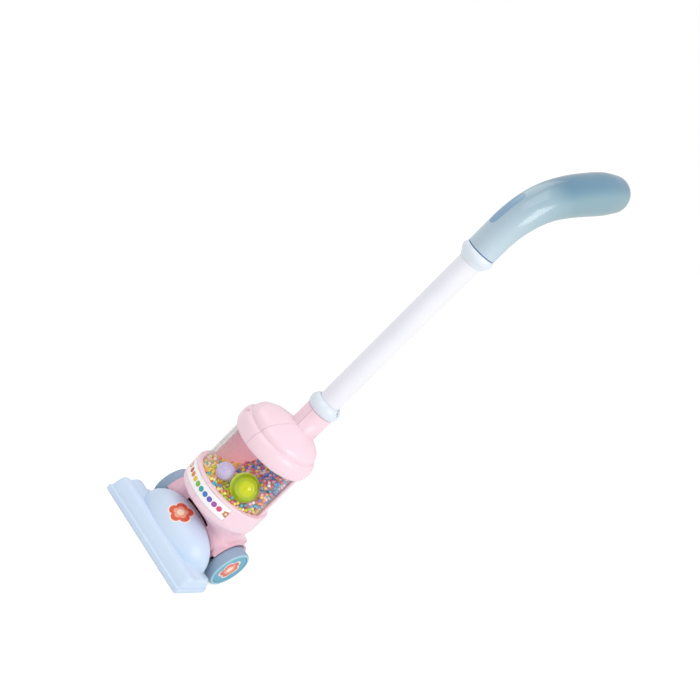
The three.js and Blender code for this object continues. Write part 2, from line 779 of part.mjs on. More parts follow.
// Switch pad on the left side above the wheel, with its slot; the slider moves along Y
const switchTravel = 4;
const switchY = axleY + 1;
const switchZ = cupFloorZ - 7.6;
const padX = -(cheekHalfWidth + 0.6);
const knobHalfLength = 3;
const knobHalfHeight = 2.2;

function switchPad() {
  return block(padX, padX + 6, switchY - 8, switchY + 9, switchZ - 4.6, switchZ + 4.6);
}

function switchSlot() {
  const half = knobHalfHeight + gap;
  const front = switchY - knobHalfLength - gap;
  const back = switchY + knobHalfLength + switchTravel + gap;
  const slot = block(padX - 5, padX + 10, front, back, switchZ - half, switchZ + half);
  const pocket = block(padX + 1.8, padX + 10, switchY - 6, switchY + 8.5, switchZ - 3.9, switchZ + 3.9);
  return join(slot, pocket);
}

// A curved slot in the body's front, just over the hood's rim
function vent() {
  const sweep = hoodRimLean - 40;
  const upper = hood(-ventHigh, sweep, hoodRimLean + 40, 4);
  const lower = hood(-ventLow, sweep - 10, hoodRimLean + 50, 4);
  const front = block(-ventHalfWidth, ventHalfWidth, barRearY - 6, bodyFrontY + wall + 2, axleZ, cupFloorZ);
  return cut(upper, lower).intersect(front);
}

function bodyHalves() {
  const { shell, lowerOuter } = bodySolid();
  let solid = join(shell, armRecessWall(1), armRecessWall(-1), fender(1), fender(-1));
  const label = sector(cupRadius - labelDepth, cupRadius + 2, -labelHalfAngle - 0.5, labelHalfAngle + 0.5,
    canisterY, labelLowZ - gap, labelHighZ + gap, 16);
  const doorRegionY = axleY + 10;
  const doorway = cut(block(-doorHalfWidth - gap, doorHalfWidth + gap, doorRegionY, beyond,
    doorLowZ - gap, doorHighZ + gap), lowerBody(wall + gap, cupFloorZ));
  const axleHole = rod(hubBore, [-beyond, axleY, axleZ], [beyond, axleY, axleZ], 16);
  const doorPilot = rod(screwHoleRadius, doorScrewAt(doorPostY + 1), doorScrewAt(beyond), 8);
  const holes = Object.values(bodyScrews).map(([y, z]) => screwHole(y, z));
  solid = cut(join(solid, switchPad()), label, doorway, axleHole, doorPilot, neckInner(), switchSlot(),
    armRecess(1), armRecess(-1), vent(), ...holes);
  const half = gap / 2;
  const left = solid.intersect(leftOf(-half));
  const right = solid.intersect(rightOf(half));
  const doorRegion = block(-doorHalfWidth, doorHalfWidth, doorRegionY, beyond, doorLowZ, doorHighZ);
  const doorHole = rod(screwHoleRadius, doorScrewAt(doorPostY), doorScrewAt(beyond), 8);
  const doorSink = rod(counterbore, doorScrewAt(doorSeatY), doorScrewAt(beyond), 12);
  const door = cut(lowerOuter.intersect(doorRegion), lowerBody(wall, cupFloorZ), doorHole, doorSink);
  return { left, right, door };
}

const halves = bodyHalves();
add('body_left', halves.left, pink);
add('body_right', halves.right, pink);
add('battery_door', halves.door, pink);
for (const [name, [y, z]] of Object.entries(bodyScrews)) middleScrew(name, y, z);

const label = sector(cupRadius - labelDepth + gap, cupRadius + 0.1, -labelHalfAngle, labelHalfAngle,
  canisterY, labelLowZ, labelHighZ, 16);
add('label_band', label, white);

// Canister, its perforated floor, and the lamp on it

const canisterBore = canisterRadius - canisterWall;

function canister() {
  const profile = [
    [canisterBore, canisterBottomZ],
    [canisterRadius, canisterBottomZ],
    [canisterRadius, canisterTopZ],
    [canisterBore, canisterTopZ],
    [canisterBore, canisterBottomZ],
  ];
  return revolve(profile, 0, canisterY, 36);
}

function grille() {
  const disc = rod(canisterBore - gap, [0, canisterY, canisterBottomZ], [0, canisterY, grilleTopZ], 36);
  const rows = [[0.41, 5], [0.63, 8], [0.83, 10]];
  const slots = [];
  for (const [share, count] of rows) {
    for (let i = 0; i < count; i += 1) {
      const geometry = new THREE.BoxGeometry(canisterRadius / 8, 3, 10);
      geometry.translate(canisterRadius * share, 0, 0);
      geometry.rotateZ(2 * Math.PI * i / count);
      geometry.translate(0, canisterY, canisterBottomZ);
      slots.push(toSolid(geometry));
    }
  }
  return cut(disc, ...slots);
}

function facing(azimuthDeg, elevationDeg) {
  const azimuth = THREE.MathUtils.degToRad(azimuthDeg);
  const elevation = THREE.MathUtils.degToRad(elevationDeg);
  return new THREE.Vector3(
    Math.sin(azimuth) * Math.cos(elevation), -Math.cos(azimuth) * Math.cos(elevation), Math.sin(elevation));
}

const greenLens = {
  at: new THREE.Vector3(canisterRadius * 0.48, canisterY - canisterRadius * 0.445, grilleTopZ + 37.2),
  toward: facing(40, 24),
  radius: greenLensRadius,
};
const lilacLens = {
  at: new THREE.Vector3(-canisterRadius * 0.125, canisterY - canisterRadius * 0.61, grilleTopZ + 33.5),
  toward: facing(2, 34),
  radius: lilacLensRadius,
};
const lensWall = 1.4;

// A domed lens with two raised rings and a small nub at its crown
function lens({ at, toward, radius }) {
  const crown = radius * 0.62;
  const rise = (share) => crown * Math.sqrt(1 - share * share);
  const outer = [
    [radius, 0], [radius * 0.92, rise(0.92)], [radius * 0.8, rise(0.8)],
    [radius * 0.72, rise(0.72) + 0.5], [radius * 0.66, rise(0.66)],
    [radius * 0.46, rise(0.46) + 0.4], [radius * 0.38, rise(0.38)],
    [2, crown], [1.6, crown + 1.1], [0, crown + 1.3],
  ];
  const inner = [0.85, 0].map((share) => [(radius - lensWall) * share, rise(share) * 0.86]);
  const bore = radius - lensWall;
  const profile = [[bore, -1.6], [radius, -1.6], ...outer, ...inner.reverse(), [bore, 0.8], [bore, -1.6]];
  return revolveAlong(profile, at, toward, 18);
}

const ledRadius = 2.5;

function led({ at, toward, radius }) {
  const high = radius * 0.4;
  const profile = [
    [0, 0.6], [ledRadius, 0.6], [ledRadius, high - 1.4], [ledRadius * 0.7, high - 0.4], [0, high],
  ];
  return revolveAlong(profile, at, toward, 10);
}

function socket({ at, toward, radius }, grow) {
  const r = radius - lensWall - gap + grow;
  return revolveAlong([[0, -3 - grow], [r * 0.5, -3 - grow], [r, -1.4], [r, gap], [0, gap]], at, toward, 12);
}

// The lamp stem stands on the floor and branches to the two sockets
function lampStem(grow) {
  const foot = new THREE.Vector3(0, canisterY, grilleTopZ + gap - grow);
  const fork = new THREE.Vector3(0, canisterY - 2, grilleTopZ + 18);
  const flange = rod(9 + grow, foot.toArray(), [0, canisterY, grilleTopZ + gap + 2 + grow], 14);
  const post = rod(3.5 + grow, [0, canisterY, foot.z + 1], [fork.x, fork.y, fork.z + grow], 10);
  const branch = ({ at, toward }) => {
    const end = at.clone().addScaledVector(toward, -2);
    return rod(2.8 + grow, fork.clone().add(new THREE.Vector3(0, 0, -2)).toArray(), end.toArray(), 8);
  };
  const sockets = [socket(greenLens, grow), socket(lilacLens, grow)];
  return join(flange, post, branch(greenLens), branch(lilacLens), ...sockets);
}

function lensRoom({ at, toward, radius }) {
  const crown = radius * 0.62;
  const r = radius + 0.5;
  const profile = [[0, -4], [r, -4], [r, crown], [r * 1.4, 40], [0, 40]];
  return revolveAlong(profile, at, toward, 14);
}

// The beads lie in a slope, highest at the back right
const pileLowZ = cupTopZ + 0.5;
const pileRise = canisterTopZ - pileLowZ - 6;

function pileHeight(x, y) {
  const along = (x * 0.77 + y * 0.64 + 12) / 48;
  const share = THREE.MathUtils.clamp(along, 0, 1);
  const lump = 0.7 * Math.sin(x * 0.55) * Math.cos(y * 0.47 + 1);
  return pileLowZ + pileRise * share * share * (3 - 2 * share) + lump;
}

function beadPile() {
  const r = canisterBore - gap;
  const sides = 24;
  const circles = [0.3, 0.6, 0.85, 1];
  const rings = circles.map((share) => {
    const ring = [];
    for (let i = 0; i < sides; i += 1) {
      const turn = 2 * Math.PI * i / sides;
      const x = r * share * Math.cos(turn);
      const y = r * share * Math.sin(turn);
      ring.push(new THREE.Vector3(x, canisterY + y, pileHeight(x, y)));
    }
    return ring;
  });
  const floor = rings[rings.length - 1].map((p) => new THREE.Vector3(p.x, p.y, grilleTopZ + gap));
  return cut(loft([...rings, floor]), lensRoom(greenLens), lensRoom(lilacLens), lampStem(0.5));
}

add('canister', canister(), clear);
add('canister_floor', grille(), white);
add('lamp_stem', lampStem(0), white);
add('lens_green', lens(greenLens), lensGreen);
add('lens_lilac', lens(lilacLens), lensLilac);
add('led_green', led(greenLens), lensGreen);
add('led_lilac', led(lilacLens), lensLilac);
add('bead_pile', beadPile(), beadMix);

// Motor and fan under the canister floor

const shaftRadius = 1;

function motor() {
  const top = motorBottomZ + motorLength;
  const profile = [
    [0, motorBottomZ], [motorRadius - 1, motorBottomZ], [motorRadius, motorBottomZ + 1],
    [motorRadius, top - 1], [motorRadius - 1, top], [3, top], [3, top + 1],
    [shaftRadius, top + 1], [shaftRadius, cupFloorZ + 0.5], [0, cupFloorZ + 0.5],
  ];
  return revolve(profile, 0, canisterY, 16);
}

function fanRotor() {
  const low = motorBottomZ + motorLength + 1 + gap;
  const high = cupFloorZ + 1;
  const bore = shaftRadius + gap;
  const hub = revolve([[bore, low], [4.5, low], [4.5, high - 1], [3.5, high], [bore, high], [bore, low]],
    0, canisterY, 12);
  const blades = [];
  for (let i = 0; i < 8; i += 1) {
    const geometry = new THREE.BoxGeometry(fanRadius - 3.6, 1.2, high - low - 1.2);
    geometry.translate((fanRadius + 3.6) / 2, 0, 0);
    geometry.rotateX(0.35);
    geometry.rotateZ(2 * Math.PI * i / 8);
    geometry.translate(0, canisterY, (low + high) / 2 - 0.2);
    blades.push(toSolid(geometry));
  }
  return join(hub, ...blades);
}

add('motor', motor(), steel);
add('fan', fanRotor(), white);

// Battery box, two cells, contact strips and the power switch

const bayHalf = cellLength / 2 + 3.4;
const bayWall = 1.5;
const contactThickness = 0.6;
const contactHalfWidth = 4.5;
const slotThroughEnd = contactThickness + gap + 1.4;

function batteryBox() {
  const back = bayY + 2.5;
  const outer = block(-bayHalf, bayHalf, bayFrontY, back, bayBottomZ, bayTopZ);
  const inner = bayHalf - bayWall;
  const trough = (z) => join(
    rod(cellRadius + gap, [-inner, bayY, z], [inner, bayY, z], 20),
    block(-inner, inner, bayY, back + 1, z - cellRadius - gap, z + cellRadius + gap));
  return cut(outer, trough(lowCellZ), trough(lowCellZ + cellPitch));
}

function cell(z, flip) {
  const r = cellRadius;
  const h = cellLength / 2;
  const profile = [
    [0, -h], [r - 1, -h], [r, -h + 0.8], [r, h - 2.2], [r - 0.8, h - 1.4], [2.7, h - 1.4], [2.7, h], [0, h],
  ];
  return revolveAlong(profile, new THREE.Vector3(0, bayY, z), new THREE.Vector3(flip, 0, 0), 16);
}

function contact(side) {
  const plateX = side * (bayHalf - bayWall - gap);
  const inX = side * (cellLength / 2 + gap);
  const plateInX = plateX - side * contactThickness;
  const plate = block(Math.min(plateX, plateInX), Math.max(plateX, plateInX), bayY - contactHalfWidth,
    bayY + contactHalfWidth, lowCellZ - contactHalfWidth, lowCellZ + cellPitch + contactHalfWidth);
  const bump = (z) => rod(2, [plateX - side * 0.3, bayY, z], [inX, bayY, z], 8);
  return join(plate, bump(lowCellZ), bump(lowCellZ + cellPitch));
}

// Room for the contact strips between the two troughs
function webless(solid) {
  const outX = bayHalf - bayWall;
  const inX = outX - slotThroughEnd;
  const room = (x0, x1) => block(x0, x1, bayY - 5, bayY + 12, lowCellZ + 2, lowCellZ + cellPitch - 2);
  return cut(solid, room(inX, outX), room(-outX, -inX));
}

add('battery_box', webless(batteryBox()), white);
add('cell_low', cell(lowCellZ, 1), copper);
add('cell_high', cell(lowCellZ + cellPitch, -1), copper);
add('contact_right', contact(1), steel);
add('contact_left', contact(-1), steel);
const doorScrewSeat = new THREE.Vector3(doorScrewX, doorSeatY + gap, doorScrewZ);
add('door_screw', screw(doorScrewSeat, new THREE.Vector3(0, -1, 0), 9), steel);

function powerSwitch() {
  const knob = block(padX - 1.8, padX + 3, switchY - knobHalfLength, switchY + knobHalfLength,
    switchZ - knobHalfHeight, switchZ + knobHalfHeight);
  const flange = block(padX + 2.1, padX + 3.6, switchY - 4.4, switchY + 4.2, switchZ - 3.6, switchZ + 3.6);
  const ridge = block(padX - 2.6, padX - 1, switchY - 0.6, switchY + 0.6,
    switchZ - knobHalfHeight, switchZ + knobHalfHeight);
  return join(knob, flange, ridge);
}

add('power_switch', powerSwitch(), darkPlastic);

// Lower collar, tube and upper collar

const notchHalf = 1.9;
const keyHalf = 1.5;

function lowerCollar() {
  const z = neckTopZ + gap;
  const r = collarRadius;
  const bore = tubeRadius + gap;
  const profile = [
    [bore, z - spigotLength], [bore + spigotWall, z - spigotLength], [bore + spigotWall, z],
    [r - 2.2, z], [r - 0.7, z + 2], [r, z + 5], [r - 0.2, z + 7.6], [r - 1.4, z + 10.4],
    [r - 3.2, z + 12.6], [r - 4.3, z + collarHeight], [bore, z + collarHeight], [bore, z - spigotLength],
  ];
  const ring = revolve(profile, 0, poleY, 24);
  const notch = block(tubeRadius - 2, collarRadius + 5, poleY - notchHalf, poleY + notchHalf,
    z + collarHeight - 4.5, z + collarHeight + 1);
  return cut(ring, notch);
}

function tube() {
  const body = rod(tubeRadius, [0, poleY, tubeBottomZ], [0, poleY, tubeTopZ], 28);
  const bore = rod(tubeRadius - tubeWall, [0, poleY, tubeBottomZ - 1], [0, poleY, tubeTopZ + 1], 28);
  const keyZ = neckTopZ + gap + collarHeight - 4.5;
  const key = block(tubeRadius - tubeWall / 2, tubeRadius + 1.6, poleY - keyHalf, poleY + keyHalf,
    keyZ + gap, keyZ + 3.6);
  return join(cut(body, bore), key);
}

function upperCollar() {
  const z = handleBottomZ - gap - upperCollarHeight;
  const r = collarRadius;
  const bore = tubeRadius + gap;
  const profile = [
    [bore, z], [bore + 0.8, z], [r - 3, z + 3], [r - 1.2, z + 5.4], [r - 0.1, z + 8], [r, z + 9.6],
    [r - 0.5, z + 11.6], [r - 1.5, z + 13.2], [r - 1.8, z + upperCollarHeight], [bore, z + upperCollarHeight],
    [bore, z],
  ];
  return revolve(profile, 0, poleY, 24);
}

add('lower_collar', lowerCollar(), paleBlue);
add('tube', tube(), white);
add('upper_collar', upperCollar(), blue);

// Handle: a swelling grip that bends back from the tube, in two half shells

const handleRadius = 16;
// Stations along the grip: [back from the pole, up from its bottom, radius]
const gripStations = [
  [0, 0, handleRadius],
  [0, 12, handleRadius],
  [0.3, 24, handleRadius + 0.1],
  [3, 40, handleRadius + 0.9],
  [12, 58, handleRadius + 2.1],
  [27, 73, handleRadius + 3.2],
  [50, 86, handleRadius + 4.3],
  [76, 96.5, handleRadius + 5.1],
  [102, 105.5, handleRadius + 5.2],
  [123, 111.5, handleRadius + 3],
];
const gripCap = 17;

const gripPath = new THREE.CatmullRomCurve3(
  gripStations.map(([back, up]) => new THREE.Vector3(0, poleY + back, handleBottomZ + up)), false, 'centripetal');

function gripRadius(t) {
  const at = t * (gripStations.length - 1);
  const i = Math.min(Math.floor(at), gripStations.length - 2);
  const share = at - i;
  const smooth = share * share * (3 - 2 * share);
  return gripStations[i][2] * (1 - smooth) + gripStations[i + 1][2] * smooth;
}

// A point on the grip at t along it, turned by an angle from its front, at a radius
function gripPoint(t, turn, radius) {
  const centre = gripPath.getPoint(t);
  const along = gripPath.getTangent(t);
  const front = new THREE.Vector3(0, -along.z, along.y);
  const sideways = new THREE.Vector3(-radius * Math.sin(turn), 0, 0);
  return centre.addScaledVector(front, radius * Math.cos(turn)).add(sideways);
}

function gripRing(t, radius, sides) {
  const ring = [];
  for (let i = 0; i < sides; i += 1) ring.push(gripPoint(t, 2 * Math.PI * i / sides, radius));
  return ring;
}

function gripSolid(inset, fromT) {
  const sides = inset > 0 ? 16 : 20;
  const steps = inset > 0 ? 9 : 12;
  const rings = [];
  for (let i = 0; i <= steps; i += 1) {
    const t = fromT + (1 - fromT) * i / steps;
    rings.push(gripRing(t, gripRadius(t) - inset, sides));
  }
  const along = gripPath.getTangent(1);
  const radius = gripRadius(1) - inset;
  for (const deg of [24, 46, 68]) {
    const turn = THREE.MathUtils.degToRad(deg);
    const push = along.clone().multiplyScalar((gripCap - inset) * Math.sin(turn));
    rings.push(gripRing(1, radius * Math.cos(turn), sides).map((p) => p.add(push)));
  }
  return loft(rings);
}

const inlayFrom = 0.23;
const inlayTo = 0.44;
const inlayStartDeg = 14;
const inlayEndDeg = 58;

// A curved strip on the grip's left front, from its outer and its inner face and the walls between them
function gripStrip(low, high, grow) {
  const steps = 6;
  const across = 4;
  const t0 = inlayFrom - grow * 0.006;
  const t1 = inlayTo + grow * 0.006;
  const corner = (i, j, height) => {
    const t = t0 + (t1 - t0) * i / steps;
    const margin = grow / gripRadius(t);
    const from = THREE.MathUtils.degToRad(inlayStartDeg) - margin;
    const to = THREE.MathUtils.degToRad(inlayEndDeg) + margin;
    return gripPoint(t, from + (to - from) * j / across, gripRadius(t) + height);
  };
  const positions = [];
  const quad = (a, b, c, d) => {
    for (const p of [a, b, c, a, c, d]) positions.push(p.x, p.y, p.z);
  };
  for (let i = 0; i < steps; i += 1) {
    for (let j = 0; j < across; j += 1) {
      quad(corner(i, j, high), corner(i, j + 1, high), corner(i + 1, j + 1, high), corner(i + 1, j, high));
      quad(corner(i, j, low), corner(i + 1, j, low), corner(i + 1, j + 1, low), corner(i, j + 1, low));
    }
    quad(corner(i, 0, low), corner(i, 0, high), corner(i + 1, 0, high), corner(i + 1, 0, low));
    const end = across;
    quad(corner(i, end, low), corner(i + 1, end, low), corner(i + 1, end, high), corner(i, end, high));
  }
  for (let j = 0; j < across; j += 1) {
    quad(corner(0, j, low), corner(0, j + 1, low), corner(0, j + 1, high), corner(0, j, high));
    quad(corner(steps, j, low), corner(steps, j, high), corner(steps, j + 1, high), corner(steps, j + 1, low));
  }
  const geometry = new THREE.BufferGeometry();
  geometry.setAttribute('position', new THREE.Float32BufferAttribute(positions, 3));
  return toSolid(geometry);
}

const gripScrews = { handle_screw_low: 0.33, handle_screw_high: 0.72 };

function handleHalves() {
  const outer = gripSolid(0, 0);
  const cavity = gripSolid(handleWall, 0.26);
  const socketHole = rod(tubeRadius + gap, [0, poleY, handleBottomZ - 1], [0, poleY, tubeTopZ + gap], 24);
  const throat = rod(tubeRadius - 2, [0, poleY, tubeTopZ - 1], [0, poleY, tubeTopZ + 8], 16);
  const posts = [];
  const holes = [];
  for (const t of Object.values(gripScrews)) {
    const { y, z } = gripPath.getPoint(t);
    posts.push(screwPost(y, z));
    holes.push(screwHole(y, z));
  }
  const envelope = gripSolid(0.5, 0);
  const shell = join(cut(outer, cavity), join(...posts).intersect(envelope));
  const solid = cut(shell, socketHole, throat, gripStrip(-0.9, 3, gap), ...holes);
  const half = gap / 2;
  const left = solid.intersect(leftOf(-half));
  const right = solid.intersect(rightOf(half));
  return { left, right };
}

const grip = handleHalves();
add('handle_left', grip.left, handleBlue);
add('handle_right', grip.right, handleBlue);
add('grip_inlay', gripStrip(-0.6, 0.05, 0), inlayBlue);
for (const [name, t] of Object.entries(gripScrews)) {
  const { y, z } = gripPath.getPoint(t);
  middleScrew(name, y, z);
}

export default machine;
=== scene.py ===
# %% [markdown]
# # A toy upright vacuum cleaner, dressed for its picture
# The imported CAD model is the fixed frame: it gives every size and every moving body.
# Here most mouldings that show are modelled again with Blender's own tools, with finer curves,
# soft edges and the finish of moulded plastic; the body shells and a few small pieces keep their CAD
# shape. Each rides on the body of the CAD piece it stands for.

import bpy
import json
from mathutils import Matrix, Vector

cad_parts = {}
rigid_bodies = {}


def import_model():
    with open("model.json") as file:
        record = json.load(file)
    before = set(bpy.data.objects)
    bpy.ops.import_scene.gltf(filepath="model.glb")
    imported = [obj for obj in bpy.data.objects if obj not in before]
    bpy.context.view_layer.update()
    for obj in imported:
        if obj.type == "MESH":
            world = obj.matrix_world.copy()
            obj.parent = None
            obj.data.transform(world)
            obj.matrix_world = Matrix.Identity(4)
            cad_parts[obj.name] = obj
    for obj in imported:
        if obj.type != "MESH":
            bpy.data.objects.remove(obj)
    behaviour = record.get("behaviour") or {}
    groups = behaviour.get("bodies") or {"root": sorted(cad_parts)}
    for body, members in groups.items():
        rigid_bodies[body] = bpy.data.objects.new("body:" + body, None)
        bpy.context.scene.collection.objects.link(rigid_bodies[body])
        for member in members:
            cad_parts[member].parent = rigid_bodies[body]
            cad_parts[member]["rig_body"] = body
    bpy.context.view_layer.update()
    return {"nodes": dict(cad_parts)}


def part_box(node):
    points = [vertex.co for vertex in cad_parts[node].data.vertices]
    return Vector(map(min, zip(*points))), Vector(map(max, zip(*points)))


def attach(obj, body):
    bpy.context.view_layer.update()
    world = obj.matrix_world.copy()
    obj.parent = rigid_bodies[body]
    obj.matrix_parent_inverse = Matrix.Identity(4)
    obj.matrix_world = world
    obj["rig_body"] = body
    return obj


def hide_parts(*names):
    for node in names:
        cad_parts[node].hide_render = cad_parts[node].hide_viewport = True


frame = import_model()

# %% Units and the lines that the CAD gives
import json
import math
import random

import bpy
from mathutils import Matrix, Vector

MM = 0.001
UP = (0, 0, 1)
SIDES = ((1, "right"), (-1, "left"))


def facing(azimuth, elevation):
    """The direction from the toy to a place, by degrees to the right of its front and above the floor."""
    a, e = math.radians(azimuth), math.radians(elevation)
    return Vector((math.sin(a) * math.cos(e), -math.cos(a) * math.cos(e), math.sin(e)))


def clamp(value, low=0, high=1):
    return min(max(value, low), high)


def box_mm(node):
    """The lowest and highest corner of a CAD node, in millimetres."""
    low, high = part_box(node)
    return low / MM, high / MM


axle_low, axle_high = box_mm("axle")
axle_y = (axle_low.y + axle_high.y) / 2
axle_z = (axle_low.z + axle_high.z) / 2
tube_low, tube_high = box_mm("tube")
pole_y = (tube_low.y + tube_high.y) / 2
glass_low, glass_high = box_mm("canister")
glass_y = (glass_low.y + glass_high.y) / 2
glass_radius = (glass_high.x - glass_low.x) / 2
print(f"axle at y {axle_y:.1f} z {axle_z:.1f}, pole at y {pole_y:.1f}, canister at y {glass_y:.1f}")

# %% [markdown]
# ## Tools of the workshop
# Most mouldings of this toy are turned or drawn out from a section. So the first helper draws a line
# of edges from one vertex, by extruding it from point to point, and the others spin, push or bridge
# such lines. A modifier is applied as soon as it is set, so each piece ends as a plain mesh.

# %% Select nothing, or one piece
def nothing_selected():
    """The frame arrives selected, so each step starts by letting go of everything."""
    if bpy.context.object and bpy.context.object.mode != "OBJECT":
        bpy.ops.object.mode_set(mode="OBJECT")
    bpy.ops.object.select_all(action="DESELECT")


def take(piece):
    """Makes a piece the only selected and the active one."""
    nothing_selected()
    piece.select_set(True)
    bpy.context.view_layer.objects.active = piece
    return piece


def put_in(piece):
    """Links a new object to the scene and takes it."""
    bpy.context.scene.collection.objects.link(piece)
    return take(piece)


def edit_all():
    """Enters edit mode with everything selected."""
    bpy.ops.object.mode_set(mode="EDIT")
    bpy.ops.mesh.select_all(action="SELECT")


# %% Draw a line of edges
WELD = 0.00002


def draw_line(name, points):
    """One vertex, pulled from point to point in millimetres. The piece is left in edit mode."""
    nothing_selected()
    bpy.ops.mesh.primitive_plane_add(size=MM, location=(0, 0, 0))
    piece = bpy.context.object
    piece.name = piece.data.name = name
    places = [Vector(point) * MM for point in points]
    edit_all()
    bpy.ops.mesh.merge(type="CENTER")
    bpy.ops.transform.translate(value=places[0])
    for here, there in zip(places, places[1:]):
        bpy.ops.mesh.extrude_region_move(TRANSFORM_OT_translate={"value": there - here})
    bpy.ops.mesh.select_all(action="SELECT")
    return piece


def draw_loop(name, points, filled=True):
    """A closed line, with a face in it if it is filled. The piece is left in edit mode."""
    piece = draw_line(name, [*points, points[0]])
    bpy.ops.mesh.remove_doubles(threshold=WELD)
    if filled:
        bpy.ops.mesh.edge_face_add()
    return piece


# %% Close a mesh and smooth it
def shade_round(angle):
    """Leaves edit mode and shades the faces smooth, except across edges sharper than the angle."""
    bpy.ops.object.mode_set(mode="OBJECT")
    bpy.ops.object.shade_smooth_by_angle(angle=math.radians(angle))


def close_up(angle=35):
    """Welds what lies together, turns the faces outwards and shades the round ones smooth."""
    edit_all()
    bpy.ops.mesh.remove_doubles(threshold=WELD)
    bpy.ops.mesh.normals_make_consistent(inside=False)
    shade_round(angle)


def soften(piece, width, segments=2, angle=35):
    """Rounds the sharp edges, as a mould does."""
    take(piece)
    edge = piece.modifiers.new("edge", "BEVEL")
    edge.width = width * MM
    edge.segments = segments
    edge.limit_method = "ANGLE"
    edge.angle_limit = math.radians(angle)
    edge.use_clamp_overlap = True
    bpy.ops.object.modifier_apply(modifier=edge.name)
    shade_round(angle)
    return piece


# %% Turn a profile on a lathe
def turned(name, profile, centre, axis, sides=96, soft=0.0):
    """Spins pairs of radius and distance along the axis into a closed piece."""
    middle, onward = Vector(centre), Vector(axis).normalized()
    out = onward.orthogonal().normalized()
    piece = draw_line(name, [middle + out * radius + onward * far for radius, far in profile])
    bpy.ops.mesh.spin(steps=sides, angle=math.tau, center=middle * MM, axis=onward)
    close_up()
    if soft:
        soften(piece, soft)
    return piece


def rectangle(x0, x1, y0, y1):
    return [(x0, y0), (x1, y0), (x1, y1), (x0, y1)]


def pipe(name, inner, outer, low, high, centre, sides=96, soft=0.0):
    """An upright tube between two radii and two heights."""
    section = rectangle(inner, outer, low, high)
    return turned(name, [*section, section[0]], centre, UP, sides, soft)


# %% Push a flat outline sideways
def pushed(name, outline, x0, x1, soft=0.0):
    """Fills an outline of y and z and extrudes it from x0 to x1."""
    piece = draw_loop(name, [(x0, y, z) for y, z in outline])
    bpy.ops.mesh.extrude_region_move(TRANSFORM_OT_translate={"value": ((x1 - x0) * MM, 0, 0)})
    close_up()
    if soft:
        soften(piece, soft)
    return piece


# %% Bridge a row of rings
def bridged(name, rings):
    """Joins closed rings of points into one skin and closes its two ends."""
    nothing_selected()
    loops = []
    for i, ring in enumerate(rings):
        loops.append(draw_loop(f"{name}_ring_{i}", ring, filled=i in (0, len(rings) - 1)))
        bpy.ops.object.mode_set(mode="OBJECT")
    nothing_selected()
    for loop in loops:
        loop.select_set(True)
    piece = loops[0]
    bpy.context.view_layer.objects.active = piece
    bpy.ops.object.join()
    piece.name = piece.data.name = name
    bpy.ops.object.mode_set(mode="EDIT")
    bpy.ops.mesh.select_mode(type="EDGE")
    bpy.ops.mesh.select_all(action="SELECT")
    bpy.ops.mesh.bridge_edge_loops()
    bpy.ops.mesh.select_mode(type="VERT")
    close_up()
    return piece


# %% A smooth line through given points
def curve_point(places, at):
    """A point on a smooth curve through places, with the knots spaced by the root of the distance."""
    last = len(places) - 1
    i = min(int(at * last), last - 1)
    p1, p2 = places[i], places[i + 1]
    p0 = places[i - 1] if i else p1 * 2 - p2
    p3 = places[i + 2] if i + 2 <= last else p2 * 2 - p1
    share = at * last - i
    knots = [0.0]
    for a, b in ((p0, p1), (p1, p2), (p2, p3)):
        knots.append(knots[-1] + max((b - a).length, 1e-6) ** 0.5)
    t = knots[1] + (knots[2] - knots[1]) * share

    def mix(a, b, ta, tb):
        return a * ((tb - t) / (tb - ta)) + b * ((t - ta) / (tb - ta))

    a1, a2, a3 = mix(p0, p1, *knots[0:2]), mix(p1, p2, *knots[1:3]), mix(p2, p3, *knots[2:4])
    b1, b2 = mix(a1, a2, knots[0], knots[2]), mix(a2, a3, knots[1], knots[3])
    return mix(b1, b2, knots[1], knots[2])


def smooth_line(places, steps):
    """Many points on the smooth curve through a few."""
    places = [Vector(place) for place in places]
    return [curve_point(places, i / steps) for i in range(steps + 1)]


# %% Add one solid to another, or cut it away
def carve(piece, tool, operation="DIFFERENCE"):
    """Applies a Boolean modifier and throws the tool away."""
    take(piece)
    step = piece.modifiers.new("carve", "BOOLEAN")
    step.operation = operation
    step.solver = "EXACT"
    step.object = tool
    bpy.ops.object.modifier_apply(modifier=step.name)
    bpy.data.objects.remove(tool)
    return piece


# %% Take a CAD moulding as it is, with smooth shading
def smooth_copy(node, name, angle=32):
    """Copies a CAD node's loose triangles, welds them and shades the round parts smooth."""
    piece = put_in(bpy.data.objects.new(name, frame["nodes"][node].data.copy()))
    edit_all()
    bpy.ops.mesh.remove_doubles(threshold=WELD / 4)
    bpy.ops.mesh.dissolve_limited(angle_limit=math.radians(0.5))
    shade_round(angle)
    return piece


# %% Give a piece its finish and its place
def dress(piece, finish, slot, *nodes):
    """The piece takes a finish, rides with the CAD nodes it stands for, and hides them."""
    piece.data.materials.clear()
    piece.data.materials.append(finish)
    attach(piece, frame["nodes"][nodes[0]]["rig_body"])
    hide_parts(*nodes)
    print(f"{piece.name}: {len(piece.data.polygons)} faces")
    return piece


# %% [markdown]
# ## Tools of the painter
# The colours and shades of this toy are drawn by small trees of nodes on Object coordinates, so they
# hold to the piece when it moves. Each helper adds its nodes and links what it is given.

# %% Colours
def srgb(code):
    """A colour written as #RRGGBB, as the linear values that Blender's sockets hold."""
    parts = [int(code[i:i + 2], 16) / 255 for i in (1, 3, 5)]
    return [part / 12.92 if part <= 0.04045 else ((part + 0.055) / 1.055) ** 2.4 for part in parts] + [1.0]


# %% Sockets and materials
def plug(socket, value):
    """Gives a socket a value, a colour by its code, or a link from another node's socket."""
    if isinstance(value, bpy.types.NodeSocket):
        socket.id_data.links.new(value, socket)
    else:
        socket.default_value = srgb(value) if isinstance(value, str) else value


def tune(node, **values):
    """Plugs values into a node's sockets by their names, such as coat_weight=0.25."""
    for name, value in values.items():
        plug(node.inputs[name.replace("_", " ").title()], value)


